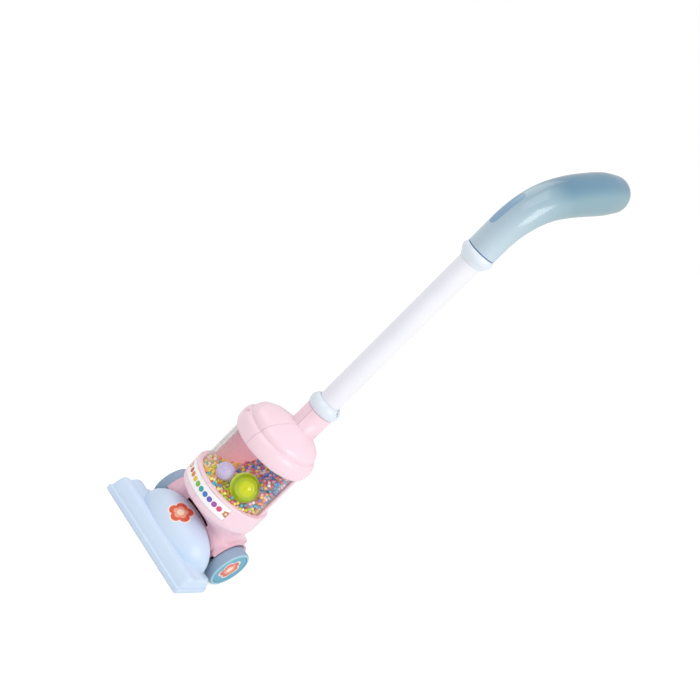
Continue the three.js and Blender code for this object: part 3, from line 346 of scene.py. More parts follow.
def add_node(beside, kind, **values):
    """A new node in the tree that another node or socket belongs to."""
    node = beside.id_data.nodes.new("ShaderNode" + kind)
    tune(node, **values)
    return node


def skin_of(made):
    return made.node_tree.nodes["Principled BSDF"]


def new_material(name):
    """A material and its shader."""
    made = bpy.data.materials.new(name)
    made.use_nodes = True
    return made, skin_of(made)


# %% Nodes that calculate
def calc(operation, *values, kind="Math", output=0):
    """A Math or VectorMath node. At least one of its values is another node's socket."""
    beside = next(value for value in values if isinstance(value, bpy.types.NodeSocket))
    node = add_node(beside, kind)
    node.operation = operation
    for socket, value in zip(node.inputs, values):
        plug(socket, value)
    return node.outputs[output]


def map_range(value, **limits):
    """A Map Range node with limits such as from_max=90."""
    return add_node(value, "MapRange", value=value, **limits).outputs["Result"]


def along(place, direction, origin=(0, 0, 0)):
    """How far a point lies along a direction from an origin, in millimetres."""
    away = calc("SUBTRACT", place, Vector(origin) * MM, kind="VectorMath")
    return calc("DOT_PRODUCT", away, Vector(direction) / MM, kind="VectorMath", output="Value")


def distance(u, v):
    """How far a point lies from where u and v are 0."""
    return calc("SQRT", calc("ADD", calc("MULTIPLY", u, u), calc("MULTIPLY", v, v)))


# %% Nodes that colour
def noise(place, scale, detail):
    return add_node(place, "TexNoise", vector=place, scale=scale, detail=detail).outputs["Fac"]


def colour_ramp(value, stops, steps="LINEAR"):
    """A Color Ramp node over pairs of position and colour, which may be a code."""
    node = add_node(value, "ValToRGB", fac=value)
    ramp = node.color_ramp
    ramp.interpolation = steps
    for i, (at, colour) in enumerate(stops):
        stop = ramp.elements[i] if i < 2 else ramp.elements.new(at)
        stop.position = at
        stop.color = srgb(colour) if isinstance(colour, str) else colour
    return node.outputs["Color"]


def blend_colour(share, first, second):
    """A colour mix. first and second are colour codes or sockets."""
    node = add_node(share, "Mix", factor=share)
    node.data_type = "RGBA"
    plug(node.inputs[6], first)
    plug(node.inputs[7], second)
    return node.outputs[2]


def paint_over(made):
    """What each painter starts from: shader, colour so far and Object coordinates."""
    skin = skin_of(made)
    under = skin.inputs["Base Color"].links[0].from_socket
    return skin, under, add_node(skin, "TexCoord").outputs["Object"]


# %% [markdown]
# ## Camera
# The picture was taken from the toy's front right, a little above it, and then laid over by 45
# degrees, so the handle points to the upper right corner.

# %% Camera
CAMERA_PLACE = Vector((568.38, -1186.21, 667.62))
AZIMUTH, ELEVATION, ROLL = 25.42, 16.5, math.radians(44.92)
FOCAL_PIXELS, FRAME_PIXELS, SENSOR = 1483.14, 700, 36.0

toward_camera = facing(AZIMUTH, ELEVATION)
level = facing(AZIMUTH + 90, 0)
upright = toward_camera.cross(level)
picture_right = math.cos(ROLL) * level + math.sin(ROLL) * upright
picture_up = -math.sin(ROLL) * level + math.cos(ROLL) * upright

bpy.ops.object.camera_add()
camera = bpy.context.object
camera.name = "camera"
turn = Matrix((picture_right, picture_up, toward_camera)).transposed().to_4x4()
camera.matrix_world = Matrix.Translation(CAMERA_PLACE * MM) @ turn
camera.data.sensor_width = SENSOR
camera.data.lens = FOCAL_PIXELS / FRAME_PIXELS * SENSOR
camera.data.clip_start, camera.data.clip_end = 0.05, 20
bpy.context.scene.camera = camera

# %% [markdown]
# ## Light
# A white studio: an even sky, a large soft box to the right of the toy, which gives the long
# highlights down the handle and the lid, and two weaker ones above the front and to the left. The
# camera sees a plain white background, also through the clear plastic, while a weaker sky lights the
# toy.

# %% Studio light
SKY = 0.7
LOOK_AT = Vector((0, 0.07, 0.25))

world = bpy.data.worlds.new("studio")
bpy.context.scene.world = world
world.use_nodes = True
backdrop = world.node_tree.nodes["Background"]
seen = add_node(backdrop, "LightPath").outputs["Is Camera Ray"]
tune(backdrop, strength=map_range(seen, to_min=SKY), color=(1, 1, 1, 1))


def soft_box(name, azimuth, elevation, far, size, power):
    """A square lamp that looks at the toy from a distance in metres."""
    away = facing(azimuth, elevation)
    bpy.ops.object.light_add(type="AREA", location=LOOK_AT + away * far)
    lamp = bpy.context.object
    lamp.name = name
    lamp.rotation_euler = (-away).to_track_quat("-Z", "Y").to_euler()
    lamp.data.shape = "SQUARE"
    lamp.data.size = size
    lamp.data.energy = power
    return lamp


soft_box("key_light", azimuth=82, elevation=32, far=1.3, size=0.7, power=6)
soft_box("top_light", azimuth=-12, elevation=62, far=1.5, size=1.0, power=4)
soft_box("left_light", azimuth=-100, elevation=38, far=1.4, size=0.9, power=2.4)

# %% Colour management and floor
FLOOR_SIZE, FLOOR_DROP = 12, 0.0005
bpy.context.scene.view_settings.view_transform = "Standard"

nothing_selected()
bpy.ops.mesh.primitive_plane_add(size=FLOOR_SIZE, location=(0, 0, -FLOOR_DROP))
floor = bpy.context.object
floor.name = "floor"
floor_paint, paint = new_material("floor_paint")
floor_seen = add_node(paint, "LightPath").outputs["Is Camera Ray"]
tune(paint, base_color="#F6F6F6", roughness=0.9)
tune(paint, emission_color=(0.42, 0.42, 0.42, 1), emission_strength=floor_seen)
plug(paint.inputs["Specular IOR Level"], 0.0)
floor.data.materials.append(floor_paint)

# %% [markdown]
# ## Plastics
# All mouldings are glossy styrene with a colour that wanders by a few percent and a skin with the
# faintest ripple. One recipe makes them all: two noises on Object coordinates, one broad for the
# colour and the gloss, one fine for the ripple.

# %% The recipe for a moulded plastic
BROAD_NOISE, FINE_NOISE = 28, 420
TINT_FROM, TINT_TO = 0.3, 0.7
DULLEST, GLOSSIEST = 1.12, 0.9
RIPPLE_STRENGTH = 0.25


def moulded(name, colour, roughness, wander=0.03, ripple=0.012, deep=None):
    """A plastic with a wandering colour. deep is the darker colour that it wanders to."""
    made, skin = new_material(name)
    place = add_node(skin, "TexCoord").outputs["Object"]
    broad = noise(place, BROAD_NOISE, 3)
    light = srgb(colour)
    dark = srgb(deep) if deep else [part * (1 - wander) for part in light[:3]] + [1]
    tint = colour_ramp(broad, ((TINT_FROM, dark), (TINT_TO, light)))
    gloss = map_range(broad, to_min=roughness * GLOSSIEST, to_max=roughness * DULLEST)
    grain = noise(place, FINE_NOISE, 2)
    bump = add_node(skin, "Bump", strength=RIPPLE_STRENGTH, distance=ripple * MM, height=grain)
    tune(skin, base_color=tint, roughness=gloss, normal=bump.outputs["Normal"])
    return made


# %% The finishes
pink = moulded("pink_plastic", "#FADBE6", 0.27)
blue = moulded("blue_plastic", "#D2E4F9", 0.32)
pale_blue = moulded("pale_blue_plastic", "#E2EBF4", 0.24)
grip_blue = moulded("grip_plastic", "#A3C4D4", 0.2, ripple=0.002)
# The strip's darker blue stands for a painted reflection on the glossy grip
reflection_strip_blue = moulded("inlay_plastic", "#8AACC8", 0.2)
wheel_blue = moulded("wheel_plastic", "#98AEC6", 0.42)
white = moulded("white_plastic", "#F1F1FA", 0.3)
dark = moulded("dark_plastic", "#43464E", 0.45)
print("finishes:", len(bpy.data.materials))

# %% [markdown]
# ## Metal
# Screws, motor can and contacts are plated steel. They take the same recipe, with more wander in
# their colour and a stronger ripple. The cells' skin is half metallic.

# %% Metal
def metal(name, colour, roughness):
    """The plastic's recipe, made metallic."""
    made = moulded(name, colour, roughness, wander=0.12, ripple=0.02)
    tune(skin_of(made), metallic=1)
    return made


steel = metal("steel", "#C3C7CC", 0.3)
motor_can = metal("motor_can", "#B9BDC3", 0.38)
brass = metal("contact_metal", "#C9C3B4", 0.34)
cell_skin = moulded("cell_skin", "#C8824A", 0.3)
tune(skin_of(cell_skin), metallic=0.6)

# %% [markdown]
# ## Flower stickers
# The stickers on the hood and the wheels are plain five-petal flowers. A flower is a circle whose
# radius swells and shrinks five times a turn, so a few Math nodes on Object coordinates draw it.

# %% Flowers and discs
PETALS = 5
WAIST = 0.3
PETAL_FULLNESS = 0.6


def flower(u, v, radius):
    """1 inside a flower about the point where u and v are 0, and 0 outside it."""
    swing = calc("MULTIPLY", calc("ARCTAN2", v, u), PETALS / 2)
    wave = calc("ABSOLUTE", calc("COSINE", swing))
    full = calc("POWER", wave, PETAL_FULLNESS)
    edge = calc("MULTIPLY_ADD", full, radius * WAIST, radius * (1 - WAIST))
    return calc("GREATER_THAN", edge, distance(u, v))


def spot(u, v, radius):
    """1 inside a circle about the point where u and v are 0, and 0 outside it."""
    return calc("GREATER_THAN", radius, distance(u, v))


FLOWER_RADIUS = 11.5
FLOWER_LAYERS = [
    (flower, 1.14, "#F7E9E1"), (flower, 1, "#DE5B3C"), (flower, 0.62, "#F4A58A"), (spot, 0.3, "#F9E3C8")]


def flower_sticker(made, origin, across, up):
    """Paints a cream-edged orange-red flower with a cream heart over a material's colour."""
    skin, shade, place = paint_over(made)
    u, v = along(place, across, origin), along(place, up, origin)
    for shape, size, colour in FLOWER_LAYERS:
        shade = blend_colour(shape(u, v, FLOWER_RADIUS * size), shade, colour)
    tune(skin, base_color=shade)


# %% [markdown]
# ## Wheels
# Each wheel is one turned moulding: a broad tread with rounded shoulders, a thin rim and a dished
# outer face that holds a round sticker disc. A lathe profile gives all of it in one spin.

# %% Wheels
WHEEL_RADIUS = axle_z
wheel_low, wheel_high = box_mm("wheel_right")
wheel_thick = wheel_high.x - wheel_low.x
disc_low, disc_high = box_mm("wheel_disc_right")
disc_radius = (disc_high.z - disc_low.z) / 2
GAP = 0.3
HUB_BORE, HUB_RADIUS, HUB_START = 2.3, 5, 0.5
seat = disc_low.x - wheel_low.x - GAP
rim_inner = disc_radius + GAP
tread = [(2.4, seat - 2), (2.4, 0), (1.2, 0), (0, 1.2), (0, wheel_thick - 1.8), (1.2, wheel_thick)]
wheel_profile = [
    (HUB_BORE, HUB_START), (HUB_RADIUS, HUB_START), (HUB_RADIUS, seat - 2),
    *((WHEEL_RADIUS - dip, out) for dip, out in tread),
    (rim_inner + 0.4, wheel_thick), (rim_inner, wheel_thick - 0.5), (rim_inner, seat), (HUB_BORE, seat),
    (HUB_BORE, HUB_START)]
RIM_BAND = 0.9


def paint_rim(made):
    """The rim's flat outer face is paler than the tread: a band by how far out a point lies."""
    skin, under, place = paint_over(made)
    out = calc("ABSOLUTE", along(place, (1, 0, 0)))
    face = calc("GREATER_THAN", out, wheel_high.x - RIM_BAND)
    tune(skin, base_color=blend_colour(face, under, "#A8D2DF"))


paint_rim(wheel_blue)
for side, word in SIDES:
    inner_face = (side * wheel_low.x, axle_y, axle_z)
    wheel = turned(f"wheel_rim_{word}", wheel_profile, inner_face, (side, 0, 0), soft=0.35)
    dress(wheel, wheel_blue, "wheel_plastic", f"wheel_{word}")

# %% [markdown]
# The disc in the wheel's face is a printed sticker: teal, with a generic flower.

# %% Wheel discs
teal = moulded("teal_disc", "#57A9C4", 0.28)
flower_sticker(teal, (0, axle_y, axle_z), (0, 1, 0), UP)
disc_thick = disc_high.x - disc_low.x
disc_profile = rectangle(0, disc_radius, 0, disc_thick)
for side, word in SIDES:
    inner_face = (side * disc_low.x, axle_y, axle_z)
    disc = turned(f"wheel_sticker_{word}", disc_profile, inner_face, (side, 0, 0), soft=0.25)
    dress(disc, teal, "teal_disc", f"wheel_disc_{word}")

# %% [markdown]
# ## Floor head
# The head is one light-blue moulding: a low bar with a bumper lip, a bulging hood behind it and two
# arms back to the axle. The bar is its section pushed sideways, the hood is an arch spun about its own
# feet, and Boolean modifiers join them and hollow them out.

# %% The bar
head_low, head_high = box_mm("nozzle_shell")
BAR_REAR = 23.5
BAR_HEIGHT = 19.4
LIP = 6.2
LIP_REACH = 1.3
SHELL = 2.0
END_ROUNDING, LIP_ROUNDING = 3.0, 1.4
CROWN = [
    (0.05, 0.54), (0.09, 0.73), (0.13, 0.875), (0.18, 0.975), (0.24, 1), (0.33, 0.96), (0.4, 0.885),
    (0.46, 0.825), (0.52, 0.835), (0.59, 0.885), (0.67, 0.905), (0.76, 0.87), (0.85, 0.77), (0.93, 0.63)]


def bar_outline(inset, floor_z):
    """The section of the bar from its front foot over its two humps to its rear foot, as y and z."""
    front, rear, top = head_low.y + inset, BAR_REAR - inset, BAR_HEIGHT - inset
    span = rear - front
    crown = [(0, front + 1.6, LIP + 0.7)]
    crown += [(0, front + span * along_bar, top * up) for along_bar, up in CROWN]
    crown += [(0, rear - 0.6, top * 0.46)]
    return [
        (front + 0.8, floor_z), (front, floor_z + 1.2), (front, LIP - 0.8), (front + 0.7, LIP),
        *((point.y, point.z) for point in smooth_line(crown, 60)), (rear, top * 0.4), (rear, floor_z)]


def round_ends(piece, rounding):
    """Bevels the edges round the two flat ends of a piece that was pushed along X."""
    take(piece)
    bpy.ops.object.mode_set(mode="EDIT")
    bpy.ops.mesh.select_all(action="DESELECT")
    bpy.ops.mesh.select_mode(type="FACE")
    bpy.ops.object.mode_set(mode="OBJECT")
    for face in piece.data.polygons:
        face.select = abs(face.normal.x) > 0.9
    bpy.ops.object.mode_set(mode="EDIT")
    bpy.ops.mesh.bevel(offset=rounding * MM, segments=5, profile=0.5, affect="EDGES")
    bpy.ops.mesh.select_mode(type="VERT")
    bpy.ops.object.mode_set(mode="OBJECT")
    return piece


def bar_lip():
    """The bumper lip stands out a little at the front and at both ends."""
    front, rear = head_low.y, BAR_REAR
    outline = [
        (front + 0.6, GAP), (front, GAP + 0.9), (front, LIP - 1.2), (front + 0.3, LIP - 0.4),
        (front + 1.0, LIP), (rear - 0.7, LIP), (rear, LIP - 0.8), (rear, GAP)]
    return round_ends(pushed("lip", outline, -head_high.x, head_high.x), LIP_ROUNDING)


# %% The hood
HOOD_HALF = head_high.x - 15.5
HOOD_FOOT = 8.5
HOOD_FRONT, HOOD_RIM, HOOD_SWELL = 37.5, 34.3, 1.6
SQUARENESS = 0.92
HOOD_LEAN, HOLLOW_LEAN = 90, 125


def hood_solid(name, inset, lean_to, arch_sides=56, steps=30):
    """A half arch lies forward on the floor and is spun up about the line through its feet."""
    half = HOOD_HALF - inset
    arch = []
    for i in range(arch_sides + 1):
        angle = math.pi * i / arch_sides
        across = math.copysign(abs(math.cos(angle)) ** SQUARENESS, math.cos(angle))
        arch.append((half * across, BAR_REAR - max(math.sin(angle), 0) ** SQUARENESS, HOOD_FOOT))
    hood = draw_loop(name, arch)
    feet = Vector((0, BAR_REAR, HOOD_FOOT)) * MM
    bpy.ops.mesh.spin(steps=steps, angle=math.radians(lean_to), center=feet, axis=(1, 0, 0))
    bpy.ops.object.mode_set(mode="OBJECT")
    for vertex in hood.data.vertices:
        forward, high = BAR_REAR - vertex.co.y / MM, vertex.co.z / MM - HOOD_FOOT
        share = clamp(math.atan2(high, forward) / (math.pi / 2))
        swell = HOOD_SWELL * math.sin(math.pi * share)
        reach = HOOD_FRONT + (HOOD_RIM - HOOD_FRONT) * share + swell - inset
        vertex.co.y = (BAR_REAR - forward * reach) * MM
        vertex.co.z = (HOOD_FOOT + high * reach) * MM
    close_up()
    return hood


# %% The arms
ARM_RADIUS = 8.5
ARM_OUTER = wheel_low.x - 1.2
ARM_THICK = 3.6
ARM_FOOT, ARM_TOP = 3, BAR_HEIGHT * 0.46


def arm_solid(side):
    """A flat beam from the bar's back to a round eye on the axle."""
    eye = []
    for deg in range(102, -115, -9):
        angle = math.radians(deg)
        eye.append((axle_y + ARM_RADIUS * math.cos(angle), axle_z + ARM_RADIUS * math.sin(angle)))
    outline = [(BAR_REAR - SHELL, ARM_TOP), *eye, (BAR_REAR - SHELL, ARM_FOOT)]
    x0, x1 = sorted((side * ARM_OUTER, side * (ARM_OUTER - ARM_THICK)))
    return pushed(f"arm_{side}", outline, x0, x1, soft=0.7)


# %% The stubs that guard the wheels
GUARD_REACH = 6.5
GUARD_TOP = 10.4


def wheel_guard(side):
    """A stub on the bar's back, in front of a wheel."""
    back = BAR_REAR + GUARD_REACH
    outline = [
        (BAR_REAR - SHELL, ARM_FOOT), (back - 1, ARM_FOOT), (back, ARM_FOOT + 1.4), (back, GUARD_TOP - 1.4),
        (back - 1.2, GUARD_TOP), (BAR_REAR - SHELL, GUARD_TOP)]
    x0, x1 = sorted((side * (wheel_low.x + 3), side * (wheel_high.x + 1)))
    return pushed(f"guard_{side}", outline, x0, x1, soft=0.8)


# %% Join and hollow the head
bar_half = head_high.x - LIP_REACH
head = round_ends(pushed("head", bar_outline(0, GAP), -bar_half, bar_half), END_ROUNDING)
carve(head, bar_lip(), "UNION")
carve(head, hood_solid("hood", 0, HOOD_LEAN), "UNION")
carve(head, pushed("bar_inside", bar_outline(SHELL, -2), SHELL - bar_half, bar_half - SHELL))
carve(head, hood_solid("hood_inside", SHELL, HOLLOW_LEAN))
for side in (1, -1):
    carve(head, arm_solid(side), "UNION")
    carve(head, wheel_guard(side), "UNION")
take(head)
close_up(32)
HOOD_FLOWER, HOOD_SLOPE = (-2.5, 3, 39), (0, 0.55, 0.835)
flower_sticker(blue, HOOD_FLOWER, (1, 0, 0), HOOD_SLOPE)
dress(head, blue, "blue_plastic", "nozzle_shell")

# %% [markdown]
# ## Tube and collars
# The tube is plain white pipe. The lower collar is a soft ring with a notch for the tube's key, and
# the upper one is a rolled ring under the handle. All three are turned.

# %% Tube
POLE = (0, pole_y, 0)
TUBE_RADIUS = 12.0
TUBE_WALL = 1.2
tube = pipe("pole", TUBE_RADIUS - TUBE_WALL, TUBE_RADIUS, tube_low.z, tube_high.z, POLE, soft=0.25)
key_low, key_high = box_mm("lower_collar")
KEY_HALF, KEY_FOOT, KEY_TOP = 1.5, 4.2, 0.9
key_outline = rectangle(pole_y - KEY_HALF, pole_y + KEY_HALF, key_high.z - KEY_FOOT, key_high.z - KEY_TOP)
carve(tube, pushed("key", key_outline, TUBE_RADIUS - 0.6, TUBE_RADIUS + 1.6, soft=0.3), "UNION")
take(tube)
close_up()
dress(tube, white, "white_plastic", "tube")

# %% Lower collar
COLLAR = 17.6
BORE = TUBE_RADIUS + GAP
SPIGOT = BORE + 1.6
SPIGOT_LENGTH = 7
seat_z = key_low.z + SPIGOT_LENGTH
LOWER_RING = [
    (2.2, 0), (1.3, 1), (0.7, 2), (0.2, 3.4), (0, 5), (0, 6.4), (0.2, 7.6), (0.7, 9.1), (1.4, 10.4),
    (2.3, 11.6), (3.2, 12.6)]
lower_collar = turned("locking_collar", [
    (BORE, key_low.z), (SPIGOT, key_low.z), (SPIGOT, seat_z),
    *((COLLAR - dip, seat_z + up) for dip, up in LOWER_RING),
    (COLLAR - 4.3, key_high.z), (BORE, key_high.z), (BORE, key_low.z)], POLE, UP, soft=0.3)
NOTCH_HALF, NOTCH_DEEP = 1.9, 4.5
notch = rectangle(pole_y - NOTCH_HALF, pole_y + NOTCH_HALF, key_high.z - NOTCH_DEEP, key_high.z + 2)
carve(lower_collar, pushed("notch", notch, TUBE_RADIUS - 2, COLLAR + 5))
take(lower_collar)
close_up()
dress(lower_collar, pale_blue, "pale_blue_plastic", "lower_collar")

# %% Upper collar
ring_low, ring_high = box_mm("upper_collar")
z = ring_low.z
UPPER_RING = [
    (3, 3), (2, 4.1), (1.2, 5.4), (0.5, 6.6), (0.1, 8), (0, 9.6), (0.2, 10.7), (0.5, 11.6), (1, 12.6),
    (1.5, 13.3)]
upper_collar = turned("grip_collar", [
    (BORE, z), (BORE + 0.8, z), (BORE + 1.5, z + 1.2), *((COLLAR - dip, z + up) for dip, up in UPPER_RING),
    (COLLAR - 1.8, ring_high.z), (BORE, ring_high.z), (BORE, z)], POLE, UP, soft=0.2)
dress(upper_collar, pale_blue, "pale_blue_plastic", "upper_collar")

# %% [markdown]
# ## Handle
# The grip swells as it bends back from the tube and ends in a round cap. It is a skin over many rings
# that follow a bent line, bridged, and then cut in two at the middle plane, as the real shells are.

# %% The line of the grip
handle_low, _ = box_mm("handle_left")
STATIONS = [
    (0, 0, 16), (0, 12, 16), (0.3, 24, 16.1), (3, 40, 16.9), (12, 58, 18.1), (27, 73, 19.2),
    (50, 86, 20.3), (76, 96.5, 21.1), (102, 105.5, 21.2), (123, 111.5, 19)]
CAP = 17
NUDGE = 0.002

grip_places = [Vector((0, pole_y + back, handle_low.z + up)) for back, up, _ in STATIONS]
grip_radii = [Vector((radius, back, up)) for back, up, radius in STATIONS]


def grip_centre(t):
    """A point on the grip's middle line, with t from 0 at the tube to 1 before the cap."""
    return curve_point(grip_places, t)


def grip_direction(t):
    return (grip_centre(min(t + NUDGE, 1)) - grip_centre(max(t - NUDGE, 0))).normalized()


def grip_radius(t):
    return curve_point(grip_radii, t).x


def front_of(direction):
    """Square to the middle line and in the middle plane, towards the grip's upper front."""
    return Vector((0, -direction.z, direction.y))


def grip_ring(t, radius, push=0.0, sides=64):
    """A ring round the middle line, pushed on along it by some millimetres."""
    middle, direction = grip_centre(t), grip_direction(t)
    ring = []
    for i in range(sides):
        angle = math.tau * i / sides
        ring.append(middle + direction * push + front_of(direction) * radius * math.cos(angle)
                    + Vector((-radius * math.sin(angle), 0, 0)))
    return ring


# %% The grip's skin
GRIP_STEPS = 40
CAP_FROM, CAP_ANGLES = 8, range(15, 90, 8)

rings = [grip_ring(i / GRIP_STEPS, grip_radius(i / GRIP_STEPS)) for i in range(GRIP_STEPS + 1)]
start = math.sin(math.radians(CAP_FROM))
for deg in CAP_ANGLES:
    angle = math.radians(deg)
    push = CAP * (math.sin(angle) - start) / (1 - start)
    rings.append(grip_ring(1, grip_radius(1) * math.cos(angle) / math.sqrt(1 - start ** 2), push))
grip = bridged("grip", rings)
socket_low, socket_high = handle_low.z - 1, tube_high.z + GAP
socket = turned("grip_socket", rectangle(0, BORE, socket_low, socket_high), POLE, UP)
carve(grip, socket)

# %% Painted shade on the grip
SHADE_LENGTH = 90
FOOT_SHADE_LINE = 0.9
UPPER_SHADE_DEPTH = 0.7


def paint_grip_shade(made):
    """Pale by the tube and deeper towards the tip, with painted shade along the upper side and a painted
    shade line at its foot, by the collar.
    """
    skin, _, place = paint_over(made)
    onward = along(place, (0, 0.7, 0.7), (0, pole_y, handle_low.z))
    share = map_range(onward, from_max=SHADE_LENGTH)
    shade = blend_colour(share, "#C2D5E0", "#87A8B4")
    upper = add_node(skin, "Attribute")
    upper.attribute_name = "painted_side_shade"
    # Painted shade on the grip's upper side, its underside and its tip
    depth = calc("MULTIPLY", upper.outputs["Fac"], UPPER_SHADE_DEPTH)
    shade = blend_colour(depth, shade, "#4F7D9E")
    # A painted shade line at the grip's foot, where it meets the collar
    foot = calc("LESS_THAN", along(place, UP), handle_low.z + FOOT_SHADE_LINE)
    shade = blend_colour(foot, shade, "#5A7DAA")
    tune(skin, base_color=shade, coat_weight=0.25, coat_roughness=0.1)


# %% Mark where the grip gets painted shade
MARK_STEPS = 60
UPPER_FROM, UNDER_FROM, UNDER_SHADE_DEPTH = 0.45, 0.7, 0.5
BEND_LENGTH, LEAST_BEND = 30, 0.3


def mark_painted_side_shade(piece):
    """Stores from 0 to 1 how much painted shade each point gets, on the grip's upper side, its underside or
    its tip.
    """
    stations = [i / MARK_STEPS for i in range(MARK_STEPS + 1)]
    line = [(grip_centre(t), grip_direction(t), grip_radius(t)) for t in stations]
    end, onward, _ = line[-1]
    marks = piece.data.attributes.new("painted_side_shade", "FLOAT", "POINT")
    for i, vertex in enumerate(piece.data.vertices):
        point = vertex.co / MM
        centre, direction, radius = min(line, key=lambda station: (station[0] - point).length_squared)
        height = (point - centre).dot(front_of(direction)) / radius
        tip = max((point - end).dot(onward) / CAP, 0)
        bend = clamp((point.y - pole_y) / BEND_LENGTH, LEAST_BEND)
        share = clamp((height - UPPER_FROM) / (1 - UPPER_FROM)) * bend
        under = clamp((-height - UNDER_FROM) / (1 - UNDER_FROM)) * UNDER_SHADE_DEPTH
        marks.data[i].value = max(share * share * (3 - 2 * share), tip * tip, under)


paint_grip_shade(grip_blue)

# %% Cut the grip into two shells
SEAM = 0.1


def half_of(piece, name, side):
    """A copy of the piece, cut beside the middle plane, with the cut closed."""
    half = piece.copy()
    half.data = piece.data.copy()
    half.name = half.data.name = name
    put_in(half)
    edit_all()
    cut = (side * SEAM / 2 * MM, 0, 0)
    bpy.ops.mesh.bisect(plane_co=cut, plane_no=(side, 0, 0), use_fill=True, clear_inner=True)
    shade_round(32)
    return half


for side, word in SIDES:
    shell = half_of(grip, f"grip_shell_{word}", side)
    mark_painted_side_shade(shell)
    dress(shell, grip_blue, "handle_plastic", f"handle_{word}")
bpy.data.objects.remove(grip)

# %% The darker strip let into the grip's left front, a painted reflection
STRIP_FROM, STRIP_TO = 0.23, 0.44
STRIP_ANGLE, STRIP_SPAN = 36, 44
STRIP_PROUD, STRIP_DEEP = 0.12, 0.7
STRIP_ACROSS, STRIP_ALONG = 12, 24
STRIP_TAPER, STRIP_END = 6, 0.05


def strip_ring(t):
    """Out along the strip's outer face and back along its inner one, across the grip."""
    centre, front = grip_centre(t), front_of(grip_direction(t))
    ring = []
    from_middle = 2 * (t - STRIP_FROM) / (STRIP_TO - STRIP_FROM) - 1
    width = max(1 - abs(from_middle) ** STRIP_TAPER, STRIP_END) ** 0.5
    outward = range(STRIP_ACROSS + 1)
    for height, order in ((STRIP_PROUD, outward), (-STRIP_DEEP, reversed(outward))):
        for i in order:
            angle = math.radians(STRIP_ANGLE + STRIP_SPAN * width * (i / STRIP_ACROSS - 0.5))
            reach = grip_radius(t) + height
            ring.append(centre + front * reach * math.cos(angle) - Vector((reach * math.sin(angle), 0, 0)))
    return ring


strip_stations = [STRIP_FROM + (STRIP_TO - STRIP_FROM) * i / STRIP_ALONG for i in range(STRIP_ALONG + 1)]
strip = bridged("grip_strip", [strip_ring(t) for t in strip_stations])
soften(strip, 0.2)
# The strip's darker blue is a painted reflection on the glossy grip
dress(strip, reflection_strip_blue, "inlay_plastic", "grip_inlay")

# %% [markdown]
# ## Body
# The two pink half shells carry everything. They keep the CAD's own walls, welded and shaded smooth.
# Only their seam behind the canister is drawn together, because daylight would shine through it.

# %% Painted shade and glow inside the canister
CUP_AXIS = (0, glass_y, 0)
WALL_GLOW = 0.3


def paint_shade_and_glow_inside(made, radius, low_z, high_z, tone):
    """Painted shade round the canister in another colour, with a painted glow for the light that the walls
    throw on each other.
    """
    skin, under, place = paint_over(made)
    x, y = along(place, (1, 0, 0), CUP_AXIS), along(place, (0, 1, 0), CUP_AXIS)
    z = along(place, UP)
    near = calc("LESS_THAN", distance(x, y), radius)
    above, below = calc("GREATER_THAN", z, low_z), calc("LESS_THAN", z, high_z)
    inside = calc("MULTIPLY", near, calc("MULTIPLY", above, below))
    glow = calc("MULTIPLY", inside, WALL_GLOW)
    tune(skin, base_color=blend_colour(inside, under, tone), emission_color=tone, emission_strength=glow)


# %% Deeper pink under the cup
WAIST_HIGH, WAIST_LOW = 64, 46


def waist_shade(made, tone):
    """A deeper pink under the cup, where the walls face each other and the wheels."""
    skin, under, place = paint_over(made)
    down = map_range(along(place, UP), from_min=WAIST_HIGH, from_max=WAIST_LOW)
    tune(skin, base_color=blend_colour(down, under, tone))


waist_shade(pink, "#F1C4D2")
# Painted shade and painted glow on the walls round the canister
paint_shade_and_glow_inside(pink, glass_radius + 0.6, glass_low.z, glass_high.z + 2, "#F0BECC")

# %% Close the seam at the back
SEAM_BEHIND = glass_y + 25
BACK_SEAM = 0.04


def close_back_seam(piece):
    """Draws the half shell's joint face almost to the middle plane, behind the canister only."""
    for vertex in piece.data.vertices:
        if abs(vertex.co.x) < 0.6 * GAP * MM and vertex.co.y > SEAM_BEHIND * MM:
            vertex.co.x = math.copysign(BACK_SEAM / 2 * MM, vertex.co.x)


# %% Body shells
for word in ("left", "right"):
    shell = smooth_copy(f"body_{word}", f"body_shell_{word}")
    close_back_seam(shell)
    dress(shell, pink, "pink_plastic", f"body_{word}")
door = smooth_copy("battery_door", "bay_door")
dress(door, pink, "pink_plastic", "battery_door")

# %% [markdown]
# ## Clear canister
# A thin clear tube. Its edges look denser than its middle, so its opacity grows where it is seen at a
# flat angle, and its gloss shows the soft boxes.

# %% Clear plastic
EDGE_POWER, EDGE_DENSITY = 2.6, 0.8

clear, clear_skin = new_material("clear_plastic")
slant = add_node(clear_skin, "LayerWeight", blend=0.5)
steep = calc("POWER", slant.outputs["Facing"], EDGE_POWER)
density = map_range(steep, to_max=EDGE_DENSITY)
tune(clear_skin, base_color="#B8B6B2", roughness=0.05, alpha=density)

# %% Canister
GLASS_WALL = 1.6
glass_inner = glass_radius - GLASS_WALL
canister = pipe("clear_canister", glass_inner, glass_radius, glass_low.z, glass_high.z, CUP_AXIS, sides=128)
dress(canister, clear, "clear_plastic", "canister")
canister.visible_shadow = False
canister.visible_diffuse = False

# %% [markdown]
# ## Lamp lenses
# The green lens is a thick dome with a bright rim, two rings and a nub at its crown. The lilac one is
# smaller. Both are glossy plastic that glows a little, as coloured clear plastic does in daylight.

# %% Shape of a lens, with its rings as shares of the radius and lifts off the dome
LENS_CROWN = 0.62
LENS_WALL, LENS_SKIRT = 1.4, 1.6
LENS_HOLLOW = 0.86
LENS_RINGS = [
    (1, 0), (0.985, 0), (0.94, 0), (0.87, 0), (0.8, 0), (0.76, 0.45), (0.72, 0.5), (0.69, 0.35), (0.66, 0),
    (0.56, 0), (0.46, 0.4), (0.42, 0.35), (0.38, 0), (0.25, 0)]
LENS_NUB = [(2, 0), (1.6, 1.1), (0.9, 1.25), (0, 1.3)]


